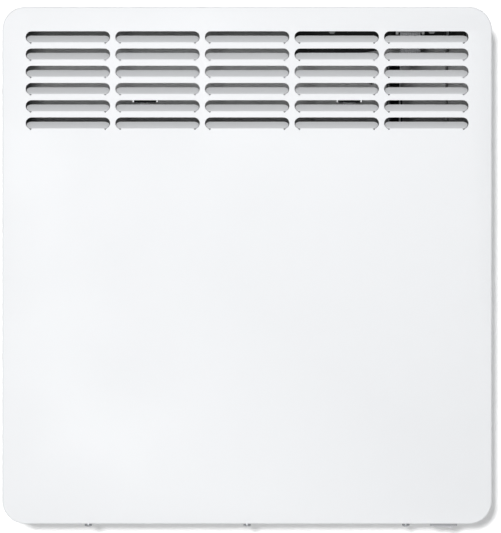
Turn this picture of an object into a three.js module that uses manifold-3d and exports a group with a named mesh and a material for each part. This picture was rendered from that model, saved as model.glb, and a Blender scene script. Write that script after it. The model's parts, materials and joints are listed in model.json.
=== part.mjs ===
// A wall panel convector heater, built piece by piece as it comes apart on a bench.
// Millimetres. +X is to the right as seen from the room, +Y points at the wall, +Z is up.
// The case is laid out with z = 0 at its bottom edge and y = 0 at the wall. The finished group is
// lowered so that its origin lies on the back face of the wall bracket's upper strip.

import * as THREE from "three";
import { mergeVertices } from "three/addons/utils/BufferGeometryUtils.js";
import Module from "manifold-3d";

const wasm = await Module();
wasm.setup();

// ---------------------------------------------------------------- driving dimensions

// Case: a folded steel cover over a steel tray.
const CASE_W = 426;
const CASE_H = 450;
const CASE_D = 101; // front face to the back of the tray
const WALL_GAP = 22; // tray to wall
const CORNER_R = 20;
const FOLD_R = 1.2; // round of the cover's front edge
const SHEET = 0.8;
const THIN_SHEET = 1.0; // inner brackets and the partition
const FIT = 0.4; // between nested sheets
const GAP = 0.3; // between pieces that rest on each other
const COVER_LIP = 30; // cover's folded lip under the case
const TRAY_LIP = 14;

// Louvres: each is a tab cut free along its top and ends, and bent inwards about its lower edge.
const LOUVRE_W = 73.5;
const LOUVRE_H = 10.2;
const LOUVRE_PITCH_X = 78;
const LOUVRE_PITCH_Z = 15;
const LOUVRE_ROWS = 6;
const LOUVRE_TOP = 21.2; // top edge of the case to the first opening
const LOUVRE_SIDE = 20; // least margin beside the louvres
const TAB_ANGLE = THREE.MathUtils.degToRad(50.5);
const TAB_BEND_R = 1.4; // outer radius of the bend
const TAB_SLIT = 0.7; // width of the cut round the tab's ends

// Air intake slots in the tray's floor.
const INTAKE_L = 34;
const INTAKE_W = 7;
const INTAKE_PITCH_X = 41;
const INTAKE_PITCH_Y = 14;
const INTAKE_ROWS = 4;
const INTAKE_MARGIN = 16; // to the partition and to the case's side

// Wall bracket and the parts that hook and lock onto it.
const BRACKET_SHEET = 1.5;
const BRACKET_FOOT = 30; // width of its strips on the wall
const BRACKET_FLANGE = 28; // width of its front flanges
const BRACKET_STRIP = 40; // height of its cross strips
const BRACKET_BOTTOM = 100; // above the case's bottom edge
const BRACKET_OVER_LOCK = 21.5; // bracket top above the lock axis
const WALL_HOLE_R = 3.2;
const HOOK_Z = 124;
const HOOK_W = 16;
const HOOK_RISE = 9;
const HOOK_SLOT_H = 6;
const LOCK_FROM_PARTITION = 34; // lock axis to the partition
const LOCK_FROM_TOP = 79.5;
const LOCK_BAR = { length: 18.8, height: 3.6, depth: 6, corner: 0.5 };
const LOCK_HUB_R = 1.7; // neck between the bar and the spindle, hidden behind the bar
const LOCK_HUB_T = 3.4;
const LOCK_SPINDLE_R = 4;
const LOCK_BLADE = { length: 16, height: 6, depth: 3 };
const LOCK_STUD = { width: 1.2, height: 3, fromBar: 1.16 }; // pale studs beyond the bar's ends

// Cover screws, under the case's front edge.
const COVER_SCREW_X = 138.5;
const FRONT_EDGE_TO_SCREW = 18;
const SCREW_R = 1.75;
const SCREW_HEAD_R = 3.4;
const SCREW_HEAD_H = 2.7;

// Partition between the warm-air chamber and the electronics.
const ELECTRONICS_W = 89;
const PARTITION_FROM_TOP = 39;
const PARTITION_FOOT = 14;
const PARTITION_FROM_FRONT = 10;
const GROMMET = { hole: 4.6, bore: 2.2, rim: 6.2 };

// Heat shield behind the element, and the baffle under the top.
const SHIELD = { left: 28, right: 16, foot: 10, bottom: 30, top: 232, slope: 6, stand: 12.8 };
const BAFFLE = { side: 12, foot: 9, depth: 82, drop: 3, rise: 4 };

// Heating element.
const ELEMENT_Y = -74;
const ELEMENT_Z = 72;
const ELEMENT_LEFT = 45; // from the case's left side
const ELEMENT_RIGHT = 30; // from the partition
const ELEMENT_ROD_R = 4;
const ELEMENT_STUD = 12;
const FIN_COUNT = 8;
const FIN_R = 27;
const FIN_HALF = 0.9;
const FIN_HUB_R = 8;
const SUPPORT = { inset: 11, foot: 14, half: 24, reach: 22 };
const BUSH = { rimR: 9.5, rimT: 2.5, bodyR: 7, bodyL: 8 };

// Safety cut-out on the heat shield.
const CUTOUT = { fromPartition: 64, z: 160, canR: 7.5, canH: 7, plate: 1.6, plateW: 26, blade: 6 };
const LEAD_Y = -41; // leads that run along the shield
const CLIP_W = 8;

// Control unit in the case's top face.
const HOUSING = { w: 148, d: 58, floorZ: 16, wall: 2, ledge: 1.5, flange: 4, proud: 0.4 };
const HOUSING_FROM_SIDE = 95.3;
const HOUSING_Y = -72.5;
const APRON = { t: 2, left: 46, middle: 34, right: 31 };
const APRON_SCREW = { fromEnd: 12, fromTop: 14, headR: 3.5, headH: 2.4 };
const HOUSING_CLIP = { spacing: 87, top: 6, tip: 3.4, drop: 6.8, t: 0.8 };
const FASCIA_T = 2;
const WINDOW = { w: 50, h: 28, x: -41.7, rim: 2, t: 0.9 };
const DISPLAY = { w: 46, h: 24, t: 4 };
const KEY = { w: 15, h: 11, pitch: 19.5, x: -0.5, proud: 0.8, rim: 1.5, rimT: 1.2, stemR: 2 };
const KEY_TRAVEL = 0.6;
const KEY_SWITCH = { size: 6, h: 3.5 };
const BOARD_T = 1.6;
const BOARD_POST = 5;

// Flat ribbon cable from the control board down to the power board.
const RIBBON_FROM_SIDE = 79.3; // its outer edge, which stays upright while the rest turns
const RIBBON_W = 18;
const RIBBON_T = 0.9;
const RIBBON_Y = -83;
const RIBBON_TURN_FROM_TOP = 37;
const RIBBON_TURN_L = 45;
const RIBBON_PLUG = { w: 25, t: 6, ear: 2.3, h: 10, fromTop: 20.8, earDrop: 2 };

// Power board on the partition.
const BOARD = { stand: 4.3, base: 2, y0: -112, y1: -40, h: 140, overCutout: 30 };
const TAB_BLADE = { w: 4, reach: 7, h: 6 };
const RELAY = { y: 15, z: 19, t: 15, fromBottom: 76 };
const CAPACITOR = { r: 9, h: 22, fromBottom: 40 };

// Mains inlet, terminal block and earth screw on the tray.
const TERMINAL = { fromSide: 59, w: 32, h: 20, d: 18, z: 80 };
const GLAND = { fromSide: 59, z: 36, boreR: 4, bodyR: 6.7, rimR: 9.5, rimT: 2 };
const CLAMP = { w: 28, h: 8, d: 7, z: 55, groove: 4 };
const EARTH = { fromSide: 23, z: 62, headR: 4, headH: 3, washerR: 5.5 };

// Mains switch in the tray's floor, through a notch of the cover's lip.
const SWITCH_FROM_SIDE = 41.4;
const SWITCH = { w: 23.2, d: 15, below: 2.4, bodyW: 19.4, bodyD: 12.6, bodyH: 20 };
const ROCKER = { w: 15.2, d: 9.4, pivotZ: 1.8, pinR: 1.2, drop: 5.6, dip: 1, rise: 3.5 };
const ROCKER_TILT = THREE.MathUtils.degToRad(7);
const SPADE = { w: 6.3, t: 0.8, h: 8, pitch: 6 };

// Room sensor over its own hole in the tray's floor.
const SENSOR = { fromSide: 26, y: -60, r: 2.2, h: 7, hole: 3, baseW: 12, baseT: 2.5 };
const SENSOR_LEAD_FROM_SIDE = 37;

const LEAD_R = 1.5;
const THIN_LEAD_R = 1;

// A hole that shows behind the fourth row of louvres.
const RELIEF = { fromSide: 103.5, fromTop: 61.5, r: 3.5 };

// ---------------------------------------------------------------- derived places

const HALF_W = CASE_W / 2;
const FRONT_Y = -(WALL_GAP + CASE_D);
const FRONT_IN = FRONT_Y + SHEET;
const REAR_Y = -WALL_GAP;
const REAR_IN = REAR_Y - SHEET;
const ON_REAR = REAR_IN - GAP; // back of anything that rests on the tray's back
const TRAY_INSET = SHEET + FIT;
const FLOOR_Z = TRAY_INSET + SHEET; // upper face of the tray's floor
const TOP_IN = CASE_H - SHEET;
const FLOOR_HALF = HALF_W - CORNER_R;
const PARTITION_X = HALF_W - ELECTRONICS_W; // its face towards the electronics
const LOCK_X = PARTITION_X - LOCK_FROM_PARTITION;
const LOCK_Z = CASE_H - LOCK_FROM_TOP;
const BRACKET_TOP = LOCK_Z + BRACKET_OVER_LOCK;
const ORIGIN_Z = BRACKET_TOP - BRACKET_STRIP / 2;
const HOUSING_X = HALF_W - HOUSING_FROM_SIDE;
const SCREW_Y = FRONT_Y + FRONT_EDGE_TO_SCREW;
const SWITCH_X = HALF_W - SWITCH_FROM_SIDE;
const SHIELD_FACE = REAR_IN - GAP - SHIELD.stand; // its front face
const ELEMENT_X0 = -HALF_W + ELEMENT_LEFT;
const ELEMENT_X1 = PARTITION_X - ELEMENT_RIGHT;
const BOARD_X = PARTITION_X + GAP + BOARD.stand + GAP; // its back face
const BOARD_FACE = BOARD_X + BOARD_T;
const BOARD_BOTTOM = CUTOUT.z + BOARD.overCutout;
const BOARD_TOP = BOARD_BOTTOM + BOARD.h;
const TERMINAL_X = HALF_W - TERMINAL.fromSide;
const RIBBON_X = HALF_W - RIBBON_FROM_SIDE;
const HOUSING_FLOOR = CASE_H - HOUSING.floorZ;
const CONTROL_BOARD_Z = HOUSING_FLOOR + 6;
const FASCIA_TOP = CASE_H + HOUSING.proud - 0.2;
const FASCIA_UNDER = FASCIA_TOP - FASCIA_T;

// ---------------------------------------------------------------- solids

// A closed geometry as a solid that can be cut and joined.
function solid(geometry) {
  const bare = geometry.clone();
  bare.deleteAttribute("normal");
  bare.deleteAttribute("uv");
  const merged = mergeVertices(bare);
  const vertProperties = new Float32Array(merged.attributes.position.array);
  const triVerts = new Uint32Array(merged.index.array);
  return new wasm.Manifold(new wasm.Mesh({ numProp: 3, vertProperties, triVerts }));
}

function geometryOf(body) {
  const mesh = body.getMesh();
  const geometry = new THREE.BufferGeometry();
  geometry.setAttribute("position", new THREE.BufferAttribute(mesh.vertProperties, 3));
  geometry.setIndex(new THREE.BufferAttribute(mesh.triVerts, 1));
  return geometry;
}

const join = (...bodies) => bodies.reduce((whole, body) => whole.add(body));

function block([x0, x1], [y0, y1], [z0, z1]) {
  const box = new THREE.BoxGeometry(x1 - x0, y1 - y0, z1 - z0);
  box.translate((x0 + x1) / 2, (y0 + y1) / 2, (z0 + z1) / 2);
  return solid(box);
}

// Shapes drawn in (y, z), (x, z) or (x, y), pushed along the remaining axis.
function prismX(shape, x0, x1, curveSegments = 3) {
  const body = new THREE.ExtrudeGeometry(shape, { depth: x1 - x0, bevelEnabled: false, curveSegments });
  const turn = new THREE.Matrix4().makeBasis(
    new THREE.Vector3(0, 1, 0),
    new THREE.Vector3(0, 0, 1),
    new THREE.Vector3(1, 0, 0),
  );
  body.applyMatrix4(turn);
  body.translate(x0, 0, 0);
  return solid(body);
}

function prismY(shape, y0, y1, curveSegments = 3) {
  const body = new THREE.ExtrudeGeometry(shape, { depth: y1 - y0, bevelEnabled: false, curveSegments });
  body.rotateX(Math.PI / 2);
  body.translate(0, y1, 0);
  return solid(body);
}

function prismZ(shape, z0, z1, curveSegments = 3) {
  const body = new THREE.ExtrudeGeometry(shape, { depth: z1 - z0, bevelEnabled: false, curveSegments });
  body.translate(0, 0, z0);
  return solid(body);
}

function roundedRect(u, v, width, height, radius) {
  const right = u + width / 2 - radius;
  const left = u - width / 2 + radius;
  const top = v + height / 2 - radius;
  const bottom = v - height / 2 + radius;
  const shape = new THREE.Shape();
  shape.absarc(right, bottom, radius, -Math.PI / 2, 0);
  shape.absarc(right, top, radius, 0, Math.PI / 2);
  shape.absarc(left, top, radius, Math.PI / 2, Math.PI);
  shape.absarc(left, bottom, radius, Math.PI, 1.5 * Math.PI);
  return shape;
}

function pill(u, v, length, height) {
  const radius = height / 2;
  const half = length / 2 - radius;
  const shape = new THREE.Shape();
  shape.absarc(u + half, v, radius, -Math.PI / 2, Math.PI / 2);
  shape.absarc(u - half, v, radius, Math.PI / 2, 1.5 * Math.PI);
  return shape;
}

function polygon(...corners) {
  return new THREE.Shape(corners.map(([u, v]) => new THREE.Vector2(u, v)));
}

// A solid through matching rings of points, with a flat cap at each end.
function loft(rings) {
  const count = rings[0].length;
  const lastRing = (rings.length - 1) * count;
  const faces = [];
  for (let ring = 0; ring < lastRing; ring += count) {
    for (let i = 0; i < count; i += 1) {
      const a = ring + i;
      const b = ring + ((i + 1) % count);
      faces.push(a, b, b + count, a, b + count, a + count);
    }
  }
  for (let i = 1; i + 1 < count; i += 1) {
    faces.push(0, i + 1, i);
    faces.push(lastRing, lastRing + i, lastRing + i + 1);
  }
  const geometry = new THREE.BufferGeometry();
  geometry.setAttribute("position", new THREE.Float32BufferAttribute(rings.flat(2), 3));
  geometry.setIndex(faces);
  return solid(geometry);
}

// A turned solid about an axis through `at`: its profile is a list of [radius, height along the axis].
const AROUND = { x: ["y", "z"], y: ["z", "x"], z: ["x", "y"] };
function turned(axis, at, profile, sides = 16) {
  const [first, second] = AROUND[axis];
  const rings = profile.map(([radius, height]) => {
    const ring = [];
    for (let i = 0; i < sides; i += 1) {
      const angle = (2 * Math.PI * (i + 0.5)) / sides;
      const point = { ...at };
      point[axis] += height;
      point[first] += radius * Math.cos(angle);
      point[second] += radius * Math.sin(angle);
      ring.push([point.x, point.y, point.z]);
    }
    return ring;
  });
  return loft(rings);
}

const drill = (axis, at, radius, h0, h1, sides = 16) =>
  turned(axis, at, [[radius, h0], [radius, h1]], sides);

// The section of a folded sheet: one face follows the points, the other lies to their right.
function foldedSection(points, thickness) {
  const path = points.map(([u, v]) => new THREE.Vector2(u, v));
  const rights = path.slice(1).map((point, i) => {
    const along = point.clone().sub(path[i]).normalize();
    return new THREE.Vector2(along.y, -along.x);
  });
  const other = path.map((point, i) => {
    const before = rights[Math.max(i - 1, 0)];
    const after = rights[Math.min(i, rights.length - 1)];
    const mitre = before.clone().add(after).divideScalar(1 + before.dot(after));
    return point.clone().addScaledVector(mitre, thickness);
  });
  return new THREE.Shape([...path, ...other.reverse()]);
}

// A round lead through the given points.
function lead(points, radius) {
  const path = new THREE.CatmullRomCurve3(
    points.map((point) => new THREE.Vector3(...point)),
    false,
    "centripetal",
  );
  const sides = 8;
  const section = [];
  for (let i = 0; i < sides; i += 1) {
    const angle = (2 * Math.PI * i) / sides;
    section.push(new THREE.Vector2(radius * Math.cos(angle), radius * Math.sin(angle)));
  }
  const steps = Math.ceil(path.getLength() / (6 * radius));
  return solid(new THREE.ExtrudeGeometry(new THREE.Shape(section), { steps, extrudePath: path }));
}

// ---------------------------------------------------------------- case

// The case's rounded outline, drawn in from its edge by `inset`, from y0 (front) to y1.
function casePrism(inset, y0, y1, fold = 0) {
  const shape = roundedRect(0, CASE_H / 2, CASE_W - 2 * inset, CASE_H - 2 * inset, CORNER_R - inset);
  const body = new THREE.ExtrudeGeometry(shape, {
    depth: y1 - y0 - 2 * fold,
    bevelEnabled: fold > 0,
    bevelThickness: fold,
    bevelSize: fold,
    bevelOffset: -fold,
    bevelSegments: 2,
    curveSegments: 4,
  });
  body.rotateX(Math.PI / 2);
  body.translate(0, y1 - fold, 0);
  return solid(body);
}

function louvrePlaces() {
  const web = LOUVRE_PITCH_X - LOUVRE_W;
  const columns = Math.floor((CASE_W - 2 * LOUVRE_SIDE + web) / LOUVRE_PITCH_X);
  const places = [];
  for (let row = 0; row < LOUVRE_ROWS; row += 1) {
    for (let column = 0; column < columns; column += 1) {
      places.push({
        x: (column - (columns - 1) / 2) * LOUVRE_PITCH_X,
        z: CASE_H - LOUVRE_TOP - LOUVRE_H / 2 - row * LOUVRE_PITCH_Z,
      });
    }
  }
  return places;
}

// A point of the tab's sheet at `along` above its root, on the outer (0) or inner (1) face.
function tabPoint(along, face) {
  const radius = TAB_BEND_R - face * SHEET;
  const bendLength = TAB_ANGLE * (TAB_BEND_R - SHEET / 2);
  const angle = (TAB_ANGLE * Math.min(Math.max(along, 0), bendLength)) / bendLength;
  const straight = Math.max(along - bendLength, 0);
  const y = TAB_BEND_R - radius * Math.cos(angle) + straight * Math.sin(angle);
  const z = radius * Math.sin(angle) + straight * Math.cos(angle) + Math.min(along, 0);
  return { y, z };
}

function louvreTab({ x, z }) {
  const tabR = LOUVRE_H / 2 - TAB_SLIT;
  const rootHalf = (LOUVRE_W - LOUVRE_H) / 2;
  const bendLength = TAB_ANGLE * (TAB_BEND_R - SHEET / 2);
  const root = z - LOUVRE_H / 2;
  const heights = [-SHEET, 0, TAB_SLIT, bendLength / 2, bendLength];
  for (const share of [0.4, 0, -0.4, -0.7, -0.9, -1]) {
    heights.push(LOUVRE_H / 2 - share * tabR);
  }
  const rings = heights.map((along) => {
    const offset = along - LOUVRE_H / 2;
    const bulge = along <= TAB_SLIT ? 0 : Math.sqrt(Math.max(tabR ** 2 - offset ** 2, 0));
    const half = rootHalf + bulge;
    const outer = tabPoint(along, 0);
    const inner = tabPoint(along, 1);
    return [
      [x - half, FRONT_Y + outer.y, root + outer.z],
      [x + half, FRONT_Y + outer.y, root + outer.z],
      [x + half, FRONT_Y + inner.y, root + inner.z],
      [x - half, FRONT_Y + inner.y, root + inner.z],
    ];
  });
  return loft(rings);
}

function frontCover() {
  const outside = casePrism(0, FRONT_Y, 0, FOLD_R);
  const behind = block([-CASE_W, CASE_W], [REAR_Y, 1], [-1, CASE_H + 1]);
  const inside = casePrism(SHEET, FRONT_IN, 1);
  const lipEdge = FRONT_Y + COVER_LIP;
  const openFloor = block([-FLOOR_HALF, FLOOR_HALF], [lipEdge, 0], [-1, SHEET + FIT / 2]);
  const notchHalf = SWITCH.w / 2 + 1;
  const notchFront = SCREW_Y - SWITCH.d / 2 - 1;
  const notch = block([SWITCH_X - notchHalf, SWITCH_X + notchHalf], [notchFront, 0], [-1, SHEET + FIT / 2]);
  const opening = roundedRect(HOUSING_X, HOUSING_Y, HOUSING.w + 4 * GAP, HOUSING.d + 4 * GAP, 4);
  let cover = outside.subtract(join(behind, inside)).subtract(join(openFloor, notch));
  cover = cover.subtract(prismZ(opening, TOP_IN - 1, CASE_H + 1));
  for (const x of [-COVER_SCREW_X, 0, COVER_SCREW_X]) {
    cover = cover.subtract(drill("z", { x, y: SCREW_Y, z: 0 }, SCREW_R + GAP, -1, SHEET + FIT / 2, 12));
  }
  for (const place of louvrePlaces()) {
    const hole = prismY(pill(place.x, place.z, LOUVRE_W, LOUVRE_H), FRONT_Y - 1, FRONT_IN + 1);
    cover = cover.subtract(hole).add(louvreTab(place));
  }
  return cover;
}

function intakeSlots() {
  const x0 = -HALF_W + INTAKE_MARGIN;
  const x1 = PARTITION_X - INTAKE_MARGIN;
  const columns = Math.floor((x1 - x0 + INTAKE_PITCH_X - INTAKE_L) / INTAKE_PITCH_X);
  const firstRow = FRONT_Y + COVER_LIP + INTAKE_W;
  const slots = [];
  for (let row = 0; row < INTAKE_ROWS; row += 1) {
    for (let column = 0; column < columns; column += 1) {
      const x = (x0 + x1) / 2 + (column - (columns - 1) / 2) * INTAKE_PITCH_X;
      const slot = pill(x, firstRow + row * INTAKE_PITCH_Y, INTAKE_L, INTAKE_W);
      slots.push(prismZ(slot, TRAY_INSET - 1, FLOOR_Z + 1, 2));
    }
  }
  return join(...slots);
}

function rearPanel() {
  const tray = casePrism(TRAY_INSET, REAR_Y - TRAY_LIP, REAR_Y);
  const hollow = casePrism(FLOOR_Z, REAR_Y - TRAY_LIP - 1, REAR_IN);
  const floorFront = FRONT_IN + FIT + GAP;
  const floor = block([-FLOOR_HALF, FLOOR_HALF], [floorFront, REAR_IN], [TRAY_INSET, FLOOR_Z]);
  let panel = tray.subtract(hollow).add(floor).subtract(intakeSlots());
  const through = (x, z, radius, sides) =>
    drill("y", { x, y: REAR_Y, z }, radius, -SHEET - 1, 1, sides);
  for (const side of [-1, 1]) {
    panel = panel.subtract(through(side * LOCK_X, LOCK_Z, LOCK_SPINDLE_R + GAP, 16));
    const slotHalf = HOOK_W / 2 + 2;
    panel = panel.subtract(block(
      [side * LOCK_X - slotHalf, side * LOCK_X + slotHalf],
      [REAR_IN - 1, REAR_Y + 1],
      [HOOK_Z + 2 - HOOK_SLOT_H, HOOK_Z + 2],
    ));
  }
  panel = panel.subtract(through(HALF_W - RELIEF.fromSide, CASE_H - RELIEF.fromTop, RELIEF.r, 16));
  panel = panel.subtract(through(HALF_W - GLAND.fromSide, GLAND.z, GLAND.bodyR + GAP, 16));
  for (const x of [-COVER_SCREW_X, 0, COVER_SCREW_X]) {
    panel = panel.subtract(drill("z", { x, y: SCREW_Y, z: FLOOR_Z }, SCREW_R + GAP, -2, 1, 12));
  }
  const switchHalfW = SWITCH.bodyW / 2 + GAP;
  const switchHalfD = SWITCH.bodyD / 2 + GAP;
  panel = panel.subtract(block(
    [SWITCH_X - switchHalfW, SWITCH_X + switchHalfW],
    [SCREW_Y - switchHalfD, SCREW_Y + switchHalfD],
    [TRAY_INSET - 1, FLOOR_Z + 1],
  ));
  const sensor = { x: HALF_W - SENSOR.fromSide, y: SENSOR.y, z: FLOOR_Z };
  return panel.subtract(drill("z", sensor, SENSOR.hole, -2, 1, 12));
}

function coverScrew() {
  const head = SCREW_HEAD_H;
  const profile = [
    [SCREW_HEAD_R * 0.45, -GAP - head],
    [SCREW_HEAD_R * 0.8, -GAP - head * 0.88],
    [SCREW_HEAD_R, -GAP - head * 0.6],
    [SCREW_HEAD_R, -GAP],
    [SCREW_R, -GAP],
    [SCREW_R, FLOOR_Z + 5],
    [SCREW_R * 0.4, FLOOR_Z + 7],
  ];
  return turned("z", { x: 0, y: 0, z: 0 }, profile, 12);
}

// ---------------------------------------------------------------- wall bracket and locks

function bracketLeg(side) {
  const inner = LOCK_X - BRACKET_FLANGE / 2;
  const front = -(WALL_GAP - GAP - BRACKET_SHEET);
  const points = [
    [inner - BRACKET_FOOT, 0],
    [inner, 0],
    [inner, front],
    [inner + BRACKET_FLANGE, front],
  ];
  const section = foldedSection(points, BRACKET_SHEET);
  const mirrored = new THREE.Shape(section.getPoints().map((p) => new THREE.Vector2(side * p.x, p.y)));
  return prismZ(mirrored, BRACKET_BOTTOM, BRACKET_TOP);
}

function bracketHook(x) {
  const seat = HOOK_Z + 2 - GAP;
  const tip = REAR_IN - 2 - BRACKET_SHEET;
  const arm = block([x - HOOK_W / 2, x + HOOK_W / 2], [tip, -(WALL_GAP - 1)], [seat - BRACKET_SHEET, seat]);
  const nose = block(
    [x - HOOK_W / 2, x + HOOK_W / 2],
    [tip, tip + BRACKET_SHEET],
    [seat - BRACKET_SHEET, seat + HOOK_RISE],
  );
  return arm.add(nose);
}

function wallBracket() {
  const half = LOCK_X - BRACKET_FLANGE / 2 - 1;
  const strip = (z0) => block([-half, half], [-BRACKET_SHEET, 0], [z0, z0 + BRACKET_STRIP]);
  let bracket = join(strip(BRACKET_BOTTOM), strip(BRACKET_TOP - BRACKET_STRIP));
  const slotRadius = Math.hypot(LOCK_BLADE.height / 2, LOCK_BLADE.length / 2) + GAP;
  for (const side of [-1, 1]) {
    const x = side * LOCK_X;
    const slot = block(
      [x - LOCK_SPINDLE_R - GAP, x + LOCK_SPINDLE_R + GAP],
      [REAR_Y, REAR_Y + 3],
      [LOCK_Z - slotRadius, LOCK_Z + slotRadius],
    );
    bracket = bracket.add(bracketLeg(side)).add(bracketHook(x)).subtract(slot);
    for (const z of [BRACKET_BOTTOM, BRACKET_TOP - BRACKET_STRIP]) {
      const at = { x: side * (half - BRACKET_FOOT / 2), y: 0, z: z + BRACKET_STRIP / 2 };
      bracket = bracket.subtract(drill("y", at, WALL_HOLE_R, -3, 1, 12));
    }
  }
  return bracket;
}

// A quarter-turn lock, drawn about its own axis: bar, hub and spindle in front, blade behind.
function wallLock() {
  const origin = { x: 0, y: 0, z: 0 };
  const bladeBack = REAR_Y + GAP + BRACKET_SHEET + GAP + LOCK_BLADE.depth;
  const hubFront = ON_REAR - LOCK_HUB_T;
  const hub = turned("y", origin, [
    [LOCK_HUB_R, hubFront],
    [LOCK_HUB_R, ON_REAR + GAP],
    [LOCK_SPINDLE_R, ON_REAR + GAP],
    [LOCK_SPINDLE_R, bladeBack],
  ]);
  const bar = prismY(
    roundedRect(0, 0, LOCK_BAR.length, LOCK_BAR.height, LOCK_BAR.corner),
    hubFront - LOCK_BAR.depth,
    hubFront + 0.5,
  );
  const blade = prismY(
    roundedRect(0, 0, LOCK_BLADE.length, LOCK_BLADE.height, 1),
    bladeBack - LOCK_BLADE.depth,
    bladeBack,
  );
  const driver = block([-5, 5], [hubFront - LOCK_BAR.depth - 1, hubFront - LOCK_BAR.depth + 1.6], [-0.6, 0.6]);
  return join(hub, bar, blade).subtract(driver);
}

// The pale bush round the lock's hub, with a stud beyond each end of the bar.
function lockBush() {
  const origin = { x: 0, y: 0, z: 0 };
  const ringR = LOCK_SPINDLE_R + GAP + 1.2;
  const studX = LOCK_BAR.length / 2 + LOCK_STUD.fromBar;
  const studFront = ON_REAR - LOCK_HUB_T - LOCK_BAR.depth;
  const plate = prismY(pill(0, 0, 2 * studX + 2, 2.4), ON_REAR - 2, ON_REAR);
  const ring = drill("y", origin, ringR, ON_REAR - 2, ON_REAR, 24);
  const bore = drill("y", origin, LOCK_HUB_R + GAP, ON_REAR - 3, ON_REAR + 1, 24);
  const studs = [-studX, studX].map((x) =>
    prismY(roundedRect(x, 0, LOCK_STUD.width, LOCK_STUD.height, 0.4), studFront, ON_REAR - 1));
  return join(ring, plate).subtract(bore).add(join(...studs));
}

// ---------------------------------------------------------------- warm-air chamber

function partitionPlate() {
  const front = FRONT_IN + PARTITION_FROM_FRONT;
  const web = PARTITION_X - THIN_SHEET;
  const section = foldedSection([
    [web, front],
    [web, ON_REAR],
    [web + PARTITION_FOOT, ON_REAR],
  ], THIN_SHEET);
  const plate = prismZ(section, FLOOR_Z + GAP, CASE_H - PARTITION_FROM_TOP);
  const holes = [[ELEMENT_Y, ELEMENT_Z], [LEAD_Y, CUTOUT.z]].map(([y, z]) =>
    drill("x", { x: PARTITION_X, y, z }, GROMMET.hole, -3, 3, 12));
  return plate.subtract(join(...holes));
}

// A rubber ring in a hole of the partition, drawn about the lead that passes through it.
function grommet() {
  const origin = { x: PARTITION_X, y: 0, z: 0 };
  const neck = GROMMET.hole - GAP;
  const body = turned("x", origin, [
    [GROMMET.rim, -THIN_SHEET - GAP - 1.8],
    [GROMMET.rim, -THIN_SHEET - GAP],
    [neck, -THIN_SHEET - GAP],
    [neck, GAP],
    [GROMMET.rim, GAP],
    [GROMMET.rim, GAP + 1.5],
  ], 12);
  return body.subtract(drill("x", origin, GROMMET.bore, -6, 6, 12));
}

function heatShield() {
  const foot = ON_REAR;
  const face = SHIELD_FACE + SHEET;
  const section = foldedSection([
    [foot, SHIELD.bottom],
    [foot, SHIELD.bottom + SHIELD.foot],
    [face, SHIELD.bottom + SHIELD.foot + SHIELD.slope],
    [face, SHIELD.top - SHIELD.foot - SHIELD.slope],
    [foot, SHIELD.top - SHIELD.foot],
    [foot, SHIELD.top],
  ], -SHEET);
  return prismX(section, -HALF_W + SHIELD.left, PARTITION_X - SHIELD.right);
}

function airBaffle() {
  const top = TOP_IN - FIT - SHEET - GAP - SHEET;
  const bend = ON_REAR - TRAY_LIP - BAFFLE.rise;
  const section = foldedSection([
    [ON_REAR, top - BAFFLE.rise - BAFFLE.foot],
    [ON_REAR, top - BAFFLE.rise],
    [bend, top],
    [ON_REAR - BAFFLE.depth, top],
    [ON_REAR - BAFFLE.depth, top - BAFFLE.drop],
  ], -SHEET);
  return prismX(section, -HALF_W + BAFFLE.side, HOUSING_X - HOUSING.w / 2 - HOUSING.flange - 2);
}

function elementBody() {
  const hubCorner = Math.sqrt(FIN_HUB_R ** 2 - FIN_HALF ** 2);
  const corners = [];
  for (let fin = 0; fin < FIN_COUNT; fin += 1) {
    const angle = (2 * Math.PI * fin) / FIN_COUNT;
    const between = angle + Math.PI / FIN_COUNT;
    const place = (out, side) => [
      ELEMENT_Y + out * Math.cos(angle) - side * Math.sin(angle),
      ELEMENT_Z + out * Math.sin(angle) + side * Math.cos(angle),
    ];
    corners.push(place(hubCorner, -FIN_HALF), place(FIN_R, -FIN_HALF));
    corners.push(place(FIN_R, FIN_HALF), place(hubCorner, FIN_HALF));
    corners.push([ELEMENT_Y + FIN_HUB_R * Math.cos(between), ELEMENT_Z + FIN_HUB_R * Math.sin(between)]);
  }
  const inset = SUPPORT.inset + THIN_SHEET + BUSH.bodyL;
  const body = prismX(polygon(...corners), ELEMENT_X0 + inset, ELEMENT_X1 - inset);
  const axis = { x: ELEMENT_X0, y: ELEMENT_Y, z: ELEMENT_Z };
  return body.subtract(drill("x", axis, ELEMENT_ROD_R + GAP, 0, ELEMENT_X1 - ELEMENT_X0, 16));
}

function elementRod() {
  const axis = { x: ELEMENT_X0, y: ELEMENT_Y, z: ELEMENT_Z };
  const length = ELEMENT_X1 - ELEMENT_X0;
  return turned("x", axis, [
    [ELEMENT_ROD_R / 2, -ELEMENT_STUD],
    [ELEMENT_ROD_R / 2, 0],
    [ELEMENT_ROD_R, 0],
    [ELEMENT_ROD_R, length],
    [ELEMENT_ROD_R / 2, length],
    [ELEMENT_ROD_R / 2, length + ELEMENT_STUD],
  ]);
}

// A support plate on the heat shield. `inward` is +1 at the left end and -1 at the right end.
function elementSupport(end, inward) {
  const x0 = end + inward * SUPPORT.inset;
  const x1 = x0 + inward * THIN_SHEET;
  const foot = SHIELD_FACE - GAP;
  const range = (a, b) => [Math.min(a, b), Math.max(a, b)];
  const heights = [ELEMENT_Z - SUPPORT.half, ELEMENT_Z + SUPPORT.half];
  const plate = block(range(x0, x1), [ELEMENT_Y - SUPPORT.reach, foot], heights);
  const flange = block(range(x1, x0 - inward * SUPPORT.foot), [foot - THIN_SHEET, foot], heights);
  const axis = { x: x0, y: ELEMENT_Y, z: ELEMENT_Z };
  return plate.add(flange).subtract(drill("x", axis, BUSH.bodyR + GAP, -4, 4, 16));
}

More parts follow.
